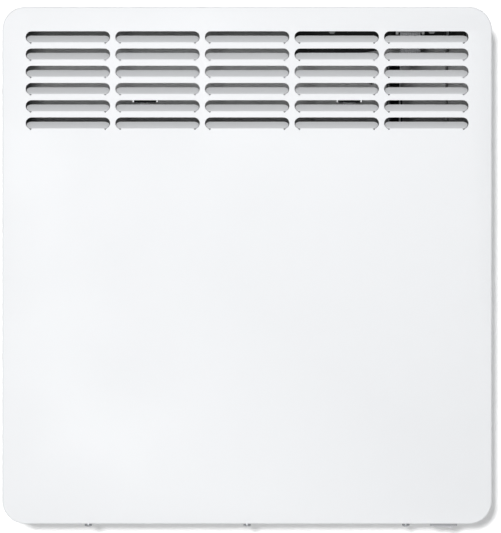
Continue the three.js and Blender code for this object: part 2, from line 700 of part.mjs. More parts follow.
// A ceramic bush between the support plate and the rod, with its rim on the outer side.
function elementBush(end, inward) {
  const axis = { x: end + inward * SUPPORT.inset, y: ELEMENT_Y, z: ELEMENT_Z };
  const outer = [
    [BUSH.rimR, -GAP - BUSH.rimT],
    [BUSH.rimR, -GAP],
    [BUSH.bodyR, -GAP],
    [BUSH.bodyR, THIN_SHEET + BUSH.bodyL - GAP],
  ];
  const profile = inward > 0 ? outer : outer.map(([radius, height]) => [radius, -height]).reverse();
  const bore = drill("x", axis, ELEMENT_ROD_R + GAP, -20, 20, 16);
  return turned("x", axis, profile).subtract(bore);
}

const CUTOUT_X = PARTITION_X - CUTOUT.fromPartition;
const CUTOUT_HALF = CUTOUT.plateW / 2 + 1;

function safetyCutout() {
  const back = SHIELD_FACE - GAP;
  const plate = prismY(roundedRect(CUTOUT_X, CUTOUT.z, CUTOUT.plateW, 14, 2), back - CUTOUT.plate, back);
  const can = turned("y", { x: CUTOUT_X, y: back, z: CUTOUT.z }, [
    [CUTOUT.canR - 1, -CUTOUT.plate - CUTOUT.canH],
    [CUTOUT.canR, -CUTOUT.plate - CUTOUT.canH + 1],
    [CUTOUT.canR, -CUTOUT.plate + 0.5],
  ]);
  const blades = block(
    [CUTOUT_X - CUTOUT_HALF, CUTOUT_X + CUTOUT_HALF],
    [LEAD_Y - 0.4, LEAD_Y + 0.4],
    [CUTOUT.z - CUTOUT.blade / 2, CUTOUT.z + CUTOUT.blade / 2],
  );
  return join(plate, can, blades);
}

// A plastic clip on the heat shield that holds the lead at `x`.
function leadClip(x) {
  const back = SHIELD_FACE - GAP;
  const body = block([x - CLIP_W / 2, x + CLIP_W / 2], [LEAD_Y - 3.4, back], [CUTOUT.z - 3.4, CUTOUT.z + 3.4]);
  return body.subtract(drill("x", { x, y: LEAD_Y, z: CUTOUT.z }, LEAD_R + GAP, -CLIP_W, CLIP_W, 12));
}

// ---------------------------------------------------------------- control unit

// Ends of the unit's flange, which stays on the flat part of the case's top.
const FLANGE_X = [
  HOUSING_X - HOUSING.w / 2 - HOUSING.flange,
  Math.min(HOUSING_X + HOUSING.w / 2 + HOUSING.flange, FLOOR_HALF),
];

function apron() {
  const [x0, x1] = FLANGE_X;
  const top = TOP_IN - FIT - SHEET - GAP;
  const outline = polygon(
    [x0, CASE_H - APRON.left],
    [PARTITION_X, CASE_H - APRON.middle],
    [x1, CASE_H - APRON.right],
    [x1, top],
    [x0, top],
  );
  const back = prismY(outline, ON_REAR - APRON.t, ON_REAR);
  const gusset = polygon(
    [ON_REAR - 1, CASE_H - APRON.left + 1],
    [ON_REAR - 1, top - 1],
    [HOUSING_Y, top - 1],
    [HOUSING_Y, HOUSING_FLOOR],
    [ON_REAR - APRON.t, CASE_H - APRON.left + 1],
  );
  const screws = apronScrewPlaces().map((at) => drill("y", at, SCREW_R + GAP, -5, 2, 12));
  return join(back, prismX(gusset, x0, x0 + HOUSING.wall)).subtract(join(...screws));
}

function apronScrewPlaces() {
  const reach = HOUSING.w / 2 - APRON_SCREW.fromEnd;
  const z = CASE_H - APRON_SCREW.fromTop;
  return [-reach, reach].map((offset) => ({ x: HOUSING_X + offset, y: ON_REAR, z }));
}

function controlHousing() {
  const half = { x: HOUSING.w / 2, y: HOUSING.d / 2 };
  const top = TOP_IN - GAP;
  const rearTop = TOP_IN - FIT - SHEET - GAP;
  const spanX = (inset) => [HOUSING_X - half.x + inset, HOUSING_X + half.x - inset];
  const spanY = (inset) => [HOUSING_Y - half.y + inset, HOUSING_Y + half.y - inset];
  const box = prismZ(
    roundedRect(HOUSING_X, HOUSING_Y, HOUSING.w, HOUSING.d, 3.5),
    HOUSING_FLOOR,
    CASE_H + HOUSING.proud,
  );
  const flange = block(FLANGE_X, spanY(-HOUSING.flange), [top - 2, top]);
  const bridge = block(FLANGE_X, [HOUSING_Y + half.y - 1, ON_REAR - 0.5], [rearTop - 2, rearTop]);
  const wall = HOUSING.wall;
  const below = wall + HOUSING.ledge;
  const lower = block(spanX(below), spanY(below), [HOUSING_FLOOR + wall, FASCIA_UNDER]);
  const upper = block(spanX(wall), spanY(wall), [FASCIA_UNDER - GAP, CASE_H + 5]);
  const plugSlot = block(
    [plugX() - RIBBON_PLUG.w / 2 - GAP, plugX() + RIBBON_PLUG.w / 2 + GAP],
    [RIBBON_Y - RIBBON_PLUG.t / 2 - GAP, RIBBON_Y + RIBBON_PLUG.t / 2 + GAP],
    [HOUSING_FLOOR - 1, HOUSING_FLOOR + wall + 1],
  );
  let housing = join(box, flange, bridge, apron()).subtract(join(lower, upper)).subtract(plugSlot);
  for (const sx of [-1, 1]) {
    for (const sy of [-1, 1]) {
      const x = HOUSING_X + sx * (half.x - below - BOARD_POST / 2);
      const y = HOUSING_Y + sy * (half.y - below - BOARD_POST / 2);
      const size = BOARD_POST / 2 + 0.5;
      housing = housing.add(block(
        [x - size, x + size],
        [y - size, y + size],
        [HOUSING_FLOOR + 1, CONTROL_BOARD_Z - GAP],
      ));
    }
  }
  return housing;
}

// A spring clip that hangs on the housing's front wall, narrower towards its tip.
function housingClip(side) {
  const x = HOUSING_X + (side * HOUSING_CLIP.spacing) / 2;
  const y1 = HOUSING_Y - HOUSING.d / 2 - GAP;
  const top = HOUSING_FLOOR;
  const outline = polygon(
    [x - HOUSING_CLIP.top / 2, top + 8],
    [x - HOUSING_CLIP.top / 2, top - HOUSING_CLIP.drop + 1.8],
    [x - HOUSING_CLIP.tip / 2, top - HOUSING_CLIP.drop],
    [x + HOUSING_CLIP.tip / 2, top - HOUSING_CLIP.drop],
    [x + HOUSING_CLIP.top / 2, top - HOUSING_CLIP.drop + 1.8],
    [x + HOUSING_CLIP.top / 2, top + 8],
  );
  return prismY(outline, y1 - HOUSING_CLIP.t, y1);
}

function apronScrew() {
  return turned("y", { x: 0, y: 0, z: 0 }, [
    [APRON_SCREW.headR * 0.5, -APRON.t - GAP - APRON_SCREW.headH],
    [APRON_SCREW.headR, -APRON.t - GAP - APRON_SCREW.headH * 0.5],
    [APRON_SCREW.headR, -APRON.t - GAP],
    [SCREW_R, -APRON.t - GAP],
    [SCREW_R, -0.1],
  ], 12);
}

const keyX = (index) => HOUSING_X + KEY.x + index * KEY.pitch;

function controlFascia() {
  const clear = HOUSING.wall + GAP;
  const plate = prismZ(
    roundedRect(HOUSING_X, HOUSING_Y, HOUSING.w - 2 * clear, HOUSING.d - 2 * clear, 1.2),
    FASCIA_UNDER,
    FASCIA_TOP,
  );
  const windowX = HOUSING_X + WINDOW.x;
  const rebate = roundedRect(windowX, HOUSING_Y, WINDOW.w + 2 * GAP, WINDOW.h + 2 * GAP, 1.5);
  const through = roundedRect(windowX, HOUSING_Y, WINDOW.w - 2 * WINDOW.rim, WINDOW.h - 2 * WINDOW.rim, 1);
  const rebateFloor = FASCIA_TOP - WINDOW.t - GAP;
  let fascia = plate.subtract(prismZ(rebate, rebateFloor, FASCIA_TOP + 1, 2));
  fascia = fascia.subtract(prismZ(through, FASCIA_UNDER - 1, rebateFloor + 1, 2));
  for (let i = 0; i < 4; i += 1) {
    const hole = roundedRect(keyX(i), HOUSING_Y, KEY.w + 2 * GAP, KEY.h + 2 * GAP, 2.3);
    fascia = fascia.subtract(prismZ(hole, FASCIA_UNDER - 1, FASCIA_TOP + 1, 2));
  }
  return fascia;
}

function displayWindow() {
  const outline = roundedRect(HOUSING_X + WINDOW.x, HOUSING_Y, WINDOW.w, WINDOW.h, 1.2);
  return prismZ(outline, FASCIA_TOP - WINDOW.t, FASCIA_TOP, 2);
}

function displayModule() {
  const x = HOUSING_X + WINDOW.x;
  const base = CONTROL_BOARD_Z + BOARD_T + GAP;
  return block(
    [x - DISPLAY.w / 2, x + DISPLAY.w / 2],
    [HOUSING_Y - DISPLAY.h / 2, HOUSING_Y + DISPLAY.h / 2],
    [base, base + DISPLAY.t],
  );
}

function controlBoard() {
  const inset = HOUSING.wall + HOUSING.ledge + 1;
  const halfX = HOUSING.w / 2 - inset;
  const halfY = HOUSING.d / 2 - inset;
  let board = block(
    [HOUSING_X - halfX, HOUSING_X + halfX],
    [HOUSING_Y - halfY, HOUSING_Y + halfY],
    [CONTROL_BOARD_Z, CONTROL_BOARD_Z + BOARD_T],
  );
  for (let i = 0; i < 4; i += 1) {
    const half = KEY_SWITCH.size / 2;
    board = board.add(block(
      [keyX(i) - half, keyX(i) + half],
      [HOUSING_Y - half, HOUSING_Y + half],
      [CONTROL_BOARD_Z + 1, CONTROL_BOARD_Z + BOARD_T + KEY_SWITCH.h],
    ));
  }
  return board;
}

// A key drawn about its own centre, at the height where it rests.
function controlKey() {
  const rimTop = FASCIA_UNDER - GAP;
  const rimBottom = rimTop - KEY.rimT;
  const switchTop = CONTROL_BOARD_Z + BOARD_T + KEY_SWITCH.h;
  const cap = prismZ(roundedRect(0, 0, KEY.w, KEY.h, 2), rimBottom + 0.5, FASCIA_TOP + KEY.proud, 2);
  const rim = block(
    [-KEY.w / 2 - KEY.rim, KEY.w / 2 + KEY.rim],
    [-KEY.h / 2 - KEY.rim, KEY.h / 2 + KEY.rim],
    [rimBottom, rimTop],
  );
  const origin = { x: 0, y: 0, z: 0 };
  const stem = drill("z", origin, KEY.stemR, switchTop + KEY_TRAVEL + GAP, rimBottom + 0.5, 12);
  return join(cap, rim, stem);
}

// ---------------------------------------------------------------- ribbon cable

const plugX = () => RIBBON_X + RIBBON_W / 2;
const UPPER_PLUG_BOTTOM = CASE_H - RIBBON_PLUG.fromTop;
const LOWER_PLUG_TOP = BOARD_TOP + 2;
const RIBBON_PLANE = BOARD_FACE + GAP + RIBBON_PLUG.t / 2;

// How far the ribbon has turned at height z, as a share of a quarter turn.
function ribbonTurn(z) {
  const start = CASE_H - RIBBON_TURN_FROM_TOP;
  const share = THREE.MathUtils.clamp((start - z) / RIBBON_TURN_L, 0, 1);
  return 1 - (1 - share) ** 2.2;
}

function ribbonCable() {
  const top = UPPER_PLUG_BOTTOM - GAP;
  const bottom = LOWER_PLUG_TOP + GAP;
  const steps = 26;
  const rings = [];
  for (let i = 0; i <= steps; i += 1) {
    const z = bottom + ((top - bottom) * i) / steps;
    const angle = (Math.PI / 2) * ribbonTurn(z);
    const slide = THREE.MathUtils.smoothstep(z, bottom, CASE_H - RIBBON_TURN_FROM_TOP - RIBBON_TURN_L);
    const x = THREE.MathUtils.lerp(RIBBON_PLANE, RIBBON_X, slide);
    const across = [Math.cos(angle), Math.sin(angle)];
    const half = [(-Math.sin(angle) * RIBBON_T) / 2, (Math.cos(angle) * RIBBON_T) / 2];
    const corner = (along, side) => [
      x + along * across[0] + side * half[0],
      RIBBON_Y + along * across[1] + side * half[1],
      z,
    ];
    rings.push([corner(0, -1), corner(RIBBON_W, -1), corner(RIBBON_W, 1), corner(0, 1)]);
  }
  return loft(rings);
}

// The plug through the housing's floor, with a latch ear at each end.
function upperRibbonPlug() {
  const x = plugX();
  const y = [RIBBON_Y - RIBBON_PLUG.t / 2, RIBBON_Y + RIBBON_PLUG.t / 2];
  const half = RIBBON_PLUG.w / 2;
  const body = block([x - half, x + half], y, [UPPER_PLUG_BOTTOM, CONTROL_BOARD_Z - GAP]);
  const low = UPPER_PLUG_BOTTOM - RIBBON_PLUG.earDrop;
  const ear = (x0) => block([x0, x0 + RIBBON_PLUG.ear], y, [low, UPPER_PLUG_BOTTOM + 1]);
  return join(body, ear(x - half), ear(x + half - RIBBON_PLUG.ear));
}

function lowerRibbonPlug() {
  const y = RIBBON_Y + RIBBON_W / 2;
  const half = RIBBON_PLUG.w / 2;
  return block(
    [BOARD_FACE + GAP, BOARD_FACE + GAP + RIBBON_PLUG.t],
    [y - half, y + half],
    [LOWER_PLUG_TOP - RIBBON_PLUG.h, LOWER_PLUG_TOP],
  );
}

// ---------------------------------------------------------------- power board

const BOARD_TABS = { element: -60, cutout: -46, supply: -100, neutral: -84 };
const TAB_X = BOARD_FACE + TAB_BLADE.reach / 2;

function boardCarrier() {
  const x0 = PARTITION_X + GAP;
  const base = block([x0, x0 + BOARD.base], [BOARD.y0, BOARD.y1], [BOARD_BOTTOM, BOARD_TOP]);
  const windowEdge = 12;
  const window = block(
    [x0 - 1, x0 + BOARD.base + 1],
    [BOARD.y0 + windowEdge, BOARD.y1 - windowEdge],
    [BOARD_BOTTOM + windowEdge, BOARD_TOP - windowEdge],
  );
  const posts = [];
  for (const y of [BOARD.y0 + 5, BOARD.y1 - 5]) {
    for (const z of [BOARD_BOTTOM + 5, BOARD_TOP - 5]) {
      posts.push(drill("x", { x: x0, y, z }, 3.5, 0.5, BOARD.stand, 12));
    }
  }
  return join(base.subtract(window), ...posts);
}

function powerBoard() {
  const board = block([BOARD_X, BOARD_FACE], [BOARD.y0, BOARD.y1], [BOARD_BOTTOM, BOARD_TOP]);
  const tabs = Object.values(BOARD_TABS).map((y) => block(
    [BOARD_FACE - 0.5, BOARD_FACE + TAB_BLADE.reach],
    [y - TAB_BLADE.w / 2, y + TAB_BLADE.w / 2],
    [BOARD_BOTTOM, BOARD_BOTTOM + TAB_BLADE.h],
  ));
  return join(board, ...tabs);
}

function relay() {
  const z = BOARD_BOTTOM + RELAY.fromBottom;
  const x0 = BOARD_FACE + GAP;
  const y = BOARD.y0 + 14;
  return block([x0, x0 + RELAY.t], [y, y + RELAY.y], [z, z + RELAY.z]);
}

function filterCapacitor() {
  const at = { x: BOARD_FACE + GAP, y: BOARD.y1 - 16, z: BOARD_BOTTOM + CAPACITOR.fromBottom };
  return turned("x", at, [
    [CAPACITOR.r, 0],
    [CAPACITOR.r, CAPACITOR.h - 1],
    [CAPACITOR.r - 1, CAPACITOR.h],
  ], 20);
}

// ---------------------------------------------------------------- mains side

function terminalBlock() {
  const x = [TERMINAL_X - TERMINAL.w / 2, TERMINAL_X + TERMINAL.w / 2];
  const z = [TERMINAL.z - TERMINAL.h / 2, TERMINAL.z + TERMINAL.h / 2];
  const front = ON_REAR - TERMINAL.d;
  let body = block(x, [front, ON_REAR], z);
  for (const offset of [-1, 0, 1]) {
    const poleX = TERMINAL_X + (offset * TERMINAL.w) / 3;
    body = body.subtract(drill("y", { x: poleX, y: front, z: TERMINAL.z }, 2.6, -1, 5, 12));
  }
  return body;
}

function cordGland() {
  const at = { x: HALF_W - GLAND.fromSide, y: REAR_Y, z: GLAND.z };
  const body = turned("y", at, [
    [GLAND.rimR, -SHEET - GAP - GLAND.rimT],
    [GLAND.rimR, -SHEET - GAP],
    [GLAND.bodyR, -SHEET - GAP],
    [GLAND.bodyR, GAP],
    [GLAND.rimR - 1, GAP],
    [GLAND.rimR - 1, GAP + GLAND.rimT + 1],
    [GLAND.rimR - 3, GAP + GLAND.rimT + 6],
  ]);
  return body.subtract(drill("y", at, GLAND.boreR, -10, 20, 32));
}

function cordClamp() {
  const x = HALF_W - GLAND.fromSide;
  const z = [CLAMP.z - CLAMP.h / 2, CLAMP.z + CLAMP.h / 2];
  const body = block([x - CLAMP.w / 2, x + CLAMP.w / 2], [ON_REAR - CLAMP.d, ON_REAR], z);
  const groove = drill("z", { x, y: ON_REAR, z: CLAMP.z }, CLAMP.groove, -CLAMP.h, CLAMP.h, 12);
  return body.subtract(groove);
}

function earthScrew() {
  const at = { x: HALF_W - EARTH.fromSide, y: ON_REAR, z: EARTH.z };
  return turned("y", at, [
    [EARTH.headR * 0.6, -1 - EARTH.headH],
    [EARTH.headR, -1 - EARTH.headH * 0.6],
    [EARTH.headR, -1],
    [EARTH.washerR, -1],
    [EARTH.washerR, 0],
  ]);
}

function mainsSwitch() {
  const top = TRAY_INSET - GAP;
  const body = join(
    prismZ(roundedRect(SWITCH_X, SCREW_Y, SWITCH.w, SWITCH.d, 1), -SWITCH.below, top, 2),
    block(
      [SWITCH_X - SWITCH.bodyW / 2, SWITCH_X + SWITCH.bodyW / 2],
      [SCREW_Y - SWITCH.bodyD / 2, SCREW_Y + SWITCH.bodyD / 2],
      [top - 0.5, SWITCH.bodyH],
    ),
  );
  const cavityHalf = ROCKER.w / 2 + 1;
  const cavityDeep = ROCKER.d / 2 + 0.5;
  const cavity = block(
    [SWITCH_X - cavityHalf, SWITCH_X + cavityHalf],
    [SCREW_Y - cavityDeep, SCREW_Y + cavityDeep],
    [-SWITCH.below - 1, ROCKER.pivotZ + ROCKER.rise + 2],
  );
  const pivot = { x: SWITCH_X, y: SCREW_Y, z: ROCKER.pivotZ };
  const reach = SWITCH.bodyD / 2 - 0.3;
  const sockets = drill("y", pivot, ROCKER.pinR + GAP, -reach, reach, 12);
  const spades = [-1, 0, 1].map((i) => block(
    [SWITCH_X + i * SPADE.pitch - SPADE.t / 2, SWITCH_X + i * SPADE.pitch + SPADE.t / 2],
    [SCREW_Y - SPADE.w / 2, SCREW_Y + SPADE.w / 2],
    [SWITCH.bodyH - 0.5, SWITCH.bodyH + SPADE.h],
  ));
  return join(body.subtract(join(cavity, sockets)), ...spades);
}

// The rocker drawn level about its pivot; it is placed tilted to its off side.
function mainsRocker() {
  const half = ROCKER.w / 2;
  const outline = polygon(
    [-half, -ROCKER.drop],
    [0, -ROCKER.drop + ROCKER.dip],
    [half, -ROCKER.drop],
    [half, -ROCKER.dip],
    [half * 0.4, ROCKER.rise],
    [-half * 0.4, ROCKER.rise],
    [-half, -ROCKER.dip],
  );
  const pinReach = SWITCH.bodyD / 2 - 0.3 - GAP;
  const pins = drill("y", { x: 0, y: 0, z: 0 }, ROCKER.pinR, -pinReach, pinReach, 12);
  return prismY(outline, -ROCKER.d / 2, ROCKER.d / 2).add(pins);
}

// ---------------------------------------------------------------- room sensor

const SENSOR_X = HALF_W - SENSOR.fromSide;

function sensorHolder() {
  const base = FLOOR_Z + GAP;
  const half = SENSOR.baseW / 2;
  const body = join(
    block([SENSOR_X - half, SENSOR_X + half], [SENSOR.y - half, SENSOR.y + half], [base, base + SENSOR.baseT]),
    drill("z", { x: SENSOR_X, y: SENSOR.y, z: base }, SENSOR.r + GAP + 1.2, 1, 6, 12),
  );
  return body.subtract(drill("z", { x: SENSOR_X, y: SENSOR.y, z: base }, SENSOR.r + GAP, -1, 8, 12));
}

function roomSensor() {
  return turned("z", { x: SENSOR_X, y: SENSOR.y, z: FLOOR_Z + GAP }, [
    [SENSOR.r * 0.5, 0],
    [SENSOR.r, 1],
    [SENSOR.r, SENSOR.h],
  ], 12);
}

// ---------------------------------------------------------------- inner leads

// Points are [x, y, z]; each lead ends a gap short of what it is fixed to.
function elementRightLead() {
  const end = ELEMENT_X1 + ELEMENT_STUD + GAP;
  const y = BOARD_TABS.element;
  return lead([
    [end, ELEMENT_Y, ELEMENT_Z],
    [PARTITION_X - 8, ELEMENT_Y, ELEMENT_Z],
    [PARTITION_X + 3, ELEMENT_Y, ELEMENT_Z],
    [TAB_X - 1, ELEMENT_Y + 2, ELEMENT_Z + 5],
    [TAB_X + 2, ELEMENT_Y + 5, ELEMENT_Z + 16],
    [TAB_X + 2, y - 4, ELEMENT_Z + 40],
    [TAB_X, y, BOARD_BOTTOM - 30],
    [TAB_X, y, BOARD_BOTTOM - GAP],
  ], LEAD_R);
}

function cutoutRightLead() {
  const y = BOARD_TABS.cutout;
  return lead([
    [CUTOUT_X + CUTOUT_HALF + GAP, LEAD_Y, CUTOUT.z],
    [PARTITION_X - 20, LEAD_Y, CUTOUT.z],
    [PARTITION_X - 1, LEAD_Y, CUTOUT.z],
    [PARTITION_X + 5, LEAD_Y - 1, CUTOUT.z + 1],
    [TAB_X, y + 1, CUTOUT.z + 9],
    [TAB_X, y, CUTOUT.z + 20],
    [TAB_X, y, BOARD_BOTTOM - GAP],
  ], LEAD_R);
}

function cutoutLeftLead() {
  const studEnd = ELEMENT_X0 - ELEMENT_STUD - GAP;
  return lead([
    [CUTOUT_X - CUTOUT_HALF - GAP, LEAD_Y, CUTOUT.z],
    [CUTOUT_X - 60, LEAD_Y, CUTOUT.z],
    [ELEMENT_X0 + 60, LEAD_Y, CUTOUT.z],
    [ELEMENT_X0 + 20, LEAD_Y, CUTOUT.z],
    [ELEMENT_X0 - 8, LEAD_Y - 4, CUTOUT.z - 9],
    [ELEMENT_X0 - 24, LEAD_Y - 14, CUTOUT.z - 34],
    [ELEMENT_X0 - 29, ELEMENT_Y + 8, ELEMENT_Z + 26],
    [ELEMENT_X0 - 26, ELEMENT_Y + 1, ELEMENT_Z + 8],
    [studEnd - 5, ELEMENT_Y, ELEMENT_Z],
    [studEnd, ELEMENT_Y, ELEMENT_Z],
  ], LEAD_R);
}

function sensorLead() {
  const x = HALF_W - SENSOR_LEAD_FROM_SIDE;
  const y = ON_REAR - THIN_LEAD_R - GAP - 2.6;
  const top = HOUSING_FLOOR - GAP;
  return lead([
    [SENSOR_X, SENSOR.y, FLOOR_Z + GAP + SENSOR.h + GAP],
    [SENSOR_X, SENSOR.y, FLOOR_Z + GAP + SENSOR.h + 3],
    [SENSOR_X, SENSOR.y + 3, FLOOR_Z + SENSOR.h + 11],
    [(SENSOR_X + x) / 2 + 2, (SENSOR.y + y) / 2, 32],
    [x, y - 3, 50],
    [x, y, 72],
    [x, y, 150],
    [x, y, 240],
    [x, y, top - 100],
    [x, y, top - 50],
    [x, y - 1, top - 28],
    [x, y - 8, top - 15],
    [x, HOUSING_Y + 16, top - 9],
    [x, HOUSING_Y + 10, top - 4],
    [x, HOUSING_Y + 10, top],
  ], THIN_LEAD_R);
}

function switchInLead() {
  const block1 = TERMINAL_X + TERMINAL.w / 3;
  const top = TERMINAL.z + TERMINAL.h / 2 + GAP;
  const y = ON_REAR - TERMINAL.d / 2;
  return lead([
    [SWITCH_X - SPADE.pitch, SCREW_Y, SWITCH.bodyH + SPADE.h + GAP],
    [SWITCH_X - SPADE.pitch, SCREW_Y, SWITCH.bodyH + SPADE.h + 25],
    [SWITCH_X - SPADE.pitch, SCREW_Y + 12, top + 10],
    [(SWITCH_X - SPADE.pitch + block1) / 2, SCREW_Y + 36, top + 26],
    [block1, y - 14, top + 24],
    [block1, y, top + 10],
    [block1, y, top],
  ], LEAD_R);
}

function switchOutLead() {
  const y = BOARD_TABS.supply;
  return lead([
    [SWITCH_X + SPADE.pitch, SCREW_Y, SWITCH.bodyH + SPADE.h + GAP],
    [SWITCH_X + SPADE.pitch, SCREW_Y, SWITCH.bodyH + SPADE.h + 40],
    [SWITCH_X, SCREW_Y, BOARD_BOTTOM - 70],
    [(SWITCH_X + TAB_X) / 2, SCREW_Y + 2, BOARD_BOTTOM - 36],
    [TAB_X + 3, y - 1, BOARD_BOTTOM - 18],
    [TAB_X, y, BOARD_BOTTOM - 7],
    [TAB_X, y, BOARD_BOTTOM - GAP],
  ], LEAD_R);
}

function neutralLead() {
  const x = TERMINAL_X - TERMINAL.w / 3;
  const top = TERMINAL.z + TERMINAL.h / 2 + GAP;
  const y = BOARD_TABS.neutral;
  const blockY = ON_REAR - TERMINAL.d / 2;
  return lead([
    [x, blockY, top],
    [x, blockY, top + 16],
    [x, blockY - 12, top + 38],
    [(x + TAB_X) / 2, (blockY + y) / 2, top + 58],
    [TAB_X + 1, y + 2, BOARD_BOTTOM - 18],
    [TAB_X, y, BOARD_BOTTOM - 7],
    [TAB_X, y, BOARD_BOTTOM - GAP],
  ], LEAD_R);
}

// ---------------------------------------------------------------- assembly

const FINISH = {
  white: { color: 0xf3f4f6, roughness: 0.45, metalness: 0 },
  zinc: { color: 0xb4b8bb, roughness: 0.4, metalness: 0.8 },
  darkSheet: { color: 0x4a4d50, roughness: 0.5, metalness: 0.3 },
  aluminium: { color: 0xc9cccf, roughness: 0.35, metalness: 0.9 },
  steel: { color: 0x9a9da1, roughness: 0.35, metalness: 0.9 },
  blackPlastic: { color: 0x17181a, roughness: 0.5, metalness: 0 },
  palePlastic: { color: 0xe6e7e4, roughness: 0.5, metalness: 0 },
  greyPlastic: { color: 0x6f7377, roughness: 0.55, metalness: 0 },
  ceramic: { color: 0xe4ded0, roughness: 0.7, metalness: 0 },
  board: { color: 0x1f5a36, roughness: 0.6, metalness: 0 },
  glass: { color: 0x1c2326, roughness: 0.1, metalness: 0 },
  relayBlue: { color: 0x2a4f8a, roughness: 0.5, metalness: 0 },
  rubber: { color: 0x222222, roughness: 0.8, metalness: 0 },
  brownLead: { color: 0x5a3a26, roughness: 0.6, metalness: 0 },
  blueLead: { color: 0x2f5fa8, roughness: 0.6, metalness: 0 },
  whiteLead: { color: 0xdfe0e0, roughness: 0.6, metalness: 0 },
  greyLead: { color: 0xa9acb0, roughness: 0.6, metalness: 0 },
};

const layout = new THREE.Group();
layout.position.z = -ORIGIN_Z;

function place(name, body, finish, at = [0, 0, 0]) {
  const mesh = new THREE.Mesh(geometryOf(body), new THREE.MeshStandardMaterial(finish));
  mesh.name = name;
  mesh.position.set(...at);
  layout.add(mesh);
  return mesh;
}

const SIDES = [["left", -1], ["right", 1]];

place("front_cover", frontCover(), FINISH.white);
place("rear_panel", rearPanel(), FINISH.zinc);
place("wall_bracket", wallBracket(), FINISH.zinc);
for (const [name, side] of SIDES) {
  place(`lock_${name}`, wallLock(), FINISH.blackPlastic, [side * LOCK_X, 0, LOCK_Z]);
  place(`lock_bush_${name}`, lockBush(), FINISH.palePlastic, [side * LOCK_X, 0, LOCK_Z]);
}
for (const [name, x] of [["left", -COVER_SCREW_X], ["middle", 0], ["right", COVER_SCREW_X]]) {
  place(`cover_screw_${name}`, coverScrew(), FINISH.steel, [x, SCREW_Y, 0]);
}

place("partition_plate", partitionPlate(), FINISH.darkSheet);
place("grommet_lower", grommet(), FINISH.rubber, [0, ELEMENT_Y, ELEMENT_Z]);
place("grommet_upper", grommet(), FINISH.rubber, [0, LEAD_Y, CUTOUT.z]);
place("heat_shield", heatShield(), FINISH.aluminium);
place("air_baffle", airBaffle(), FINISH.darkSheet);
place("element_body", elementBody(), FINISH.aluminium);
place("element_rod", elementRod(), FINISH.steel);
for (const [name, end, inward] of [["left", ELEMENT_X0, 1], ["right", ELEMENT_X1, -1]]) {
  place(`element_support_${name}`, elementSupport(end, inward), FINISH.zinc);
  place(`element_bush_${name}`, elementBush(end, inward), FINISH.ceramic);
}
place("safety_cutout", safetyCutout(), FINISH.blackPlastic);
place("lead_clip_right", leadClip(CUTOUT_X - 60), FINISH.palePlastic);
place("lead_clip_left", leadClip(ELEMENT_X0 + 60), FINISH.palePlastic);

place("control_housing", controlHousing(), FINISH.blackPlastic);
for (const [name, side] of SIDES) {
  place(`housing_clip_${name}`, housingClip(side), FINISH.steel);
}
for (const [index, at] of apronScrewPlaces().entries()) {
  place(`housing_screw_${SIDES[index][0]}`, apronScrew(), FINISH.steel, [at.x, at.y, at.z]);
}
place("control_fascia", controlFascia(), FINISH.palePlastic);
place("display_window", displayWindow(), FINISH.glass);
place("display_module", displayModule(), FINISH.greyPlastic);
place("control_board", controlBoard(), FINISH.board);
for (const [index, name] of ["menu", "minus", "plus", "ok"].entries()) {
  place(`key_${name}`, controlKey(), FINISH.greyPlastic, [keyX(index), HOUSING_Y, 0]);
}

place("ribbon_plug_upper", upperRibbonPlug(), FINISH.palePlastic);
place("ribbon_cable", ribbonCable(), FINISH.greyLead);
place("ribbon_plug_lower", lowerRibbonPlug(), FINISH.greyPlastic);
place("board_carrier", boardCarrier(), FINISH.palePlastic);
place("power_board", powerBoard(), FINISH.board);
place("relay", relay(), FINISH.relayBlue);
place("filter_capacitor", filterCapacitor(), FINISH.blackPlastic);

place("terminal_block", terminalBlock(), FINISH.palePlastic);
place("cord_gland", cordGland(), FINISH.rubber);
place("cord_clamp", cordClamp(), FINISH.palePlastic);
place("earth_screw", earthScrew(), FINISH.steel);
place("mains_switch", mainsSwitch(), FINISH.greyPlastic);
const rocker = place("mains_rocker", mainsRocker(), FINISH.greyPlastic, [SWITCH_X, SCREW_Y, ROCKER.pivotZ]);
rocker.rotation.y = ROCKER_TILT;
place("sensor_holder", sensorHolder(), FINISH.palePlastic);
place("room_sensor", roomSensor(), FINISH.blackPlastic);

place("lead_element_right", elementRightLead(), FINISH.whiteLead);
place("lead_cutout_right", cutoutRightLead(), FINISH.whiteLead);
place("lead_cutout_left", cutoutLeftLead(), FINISH.whiteLead);
place("lead_sensor", sensorLead(), FINISH.greyLead);
place("lead_switch_in", switchInLead(), FINISH.brownLead);
place("lead_switch_out", switchOutLead(), FINISH.brownLead);
place("lead_neutral", neutralLead(), FINISH.blueLead);

const heater = new THREE.Group();
heater.add(layout);

export default heater;
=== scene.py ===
# %% [markdown]
# # A wall panel convector heater
#
# A folded white steel cover hangs in front of a grey steel tray. Air enters through the floor, passes a
# finned element and leaves through thirty louvres at the top. The controls sit in the top face, the
# mains switch is underneath, and two quarter-turn locks hold the case on its wall bracket.
#
# The measured solids come in first as a fixed frame. Everything made below is placed by them.

# %% Load the frame
import json
import math

import bmesh
import bpy
from mathutils import Matrix, Vector


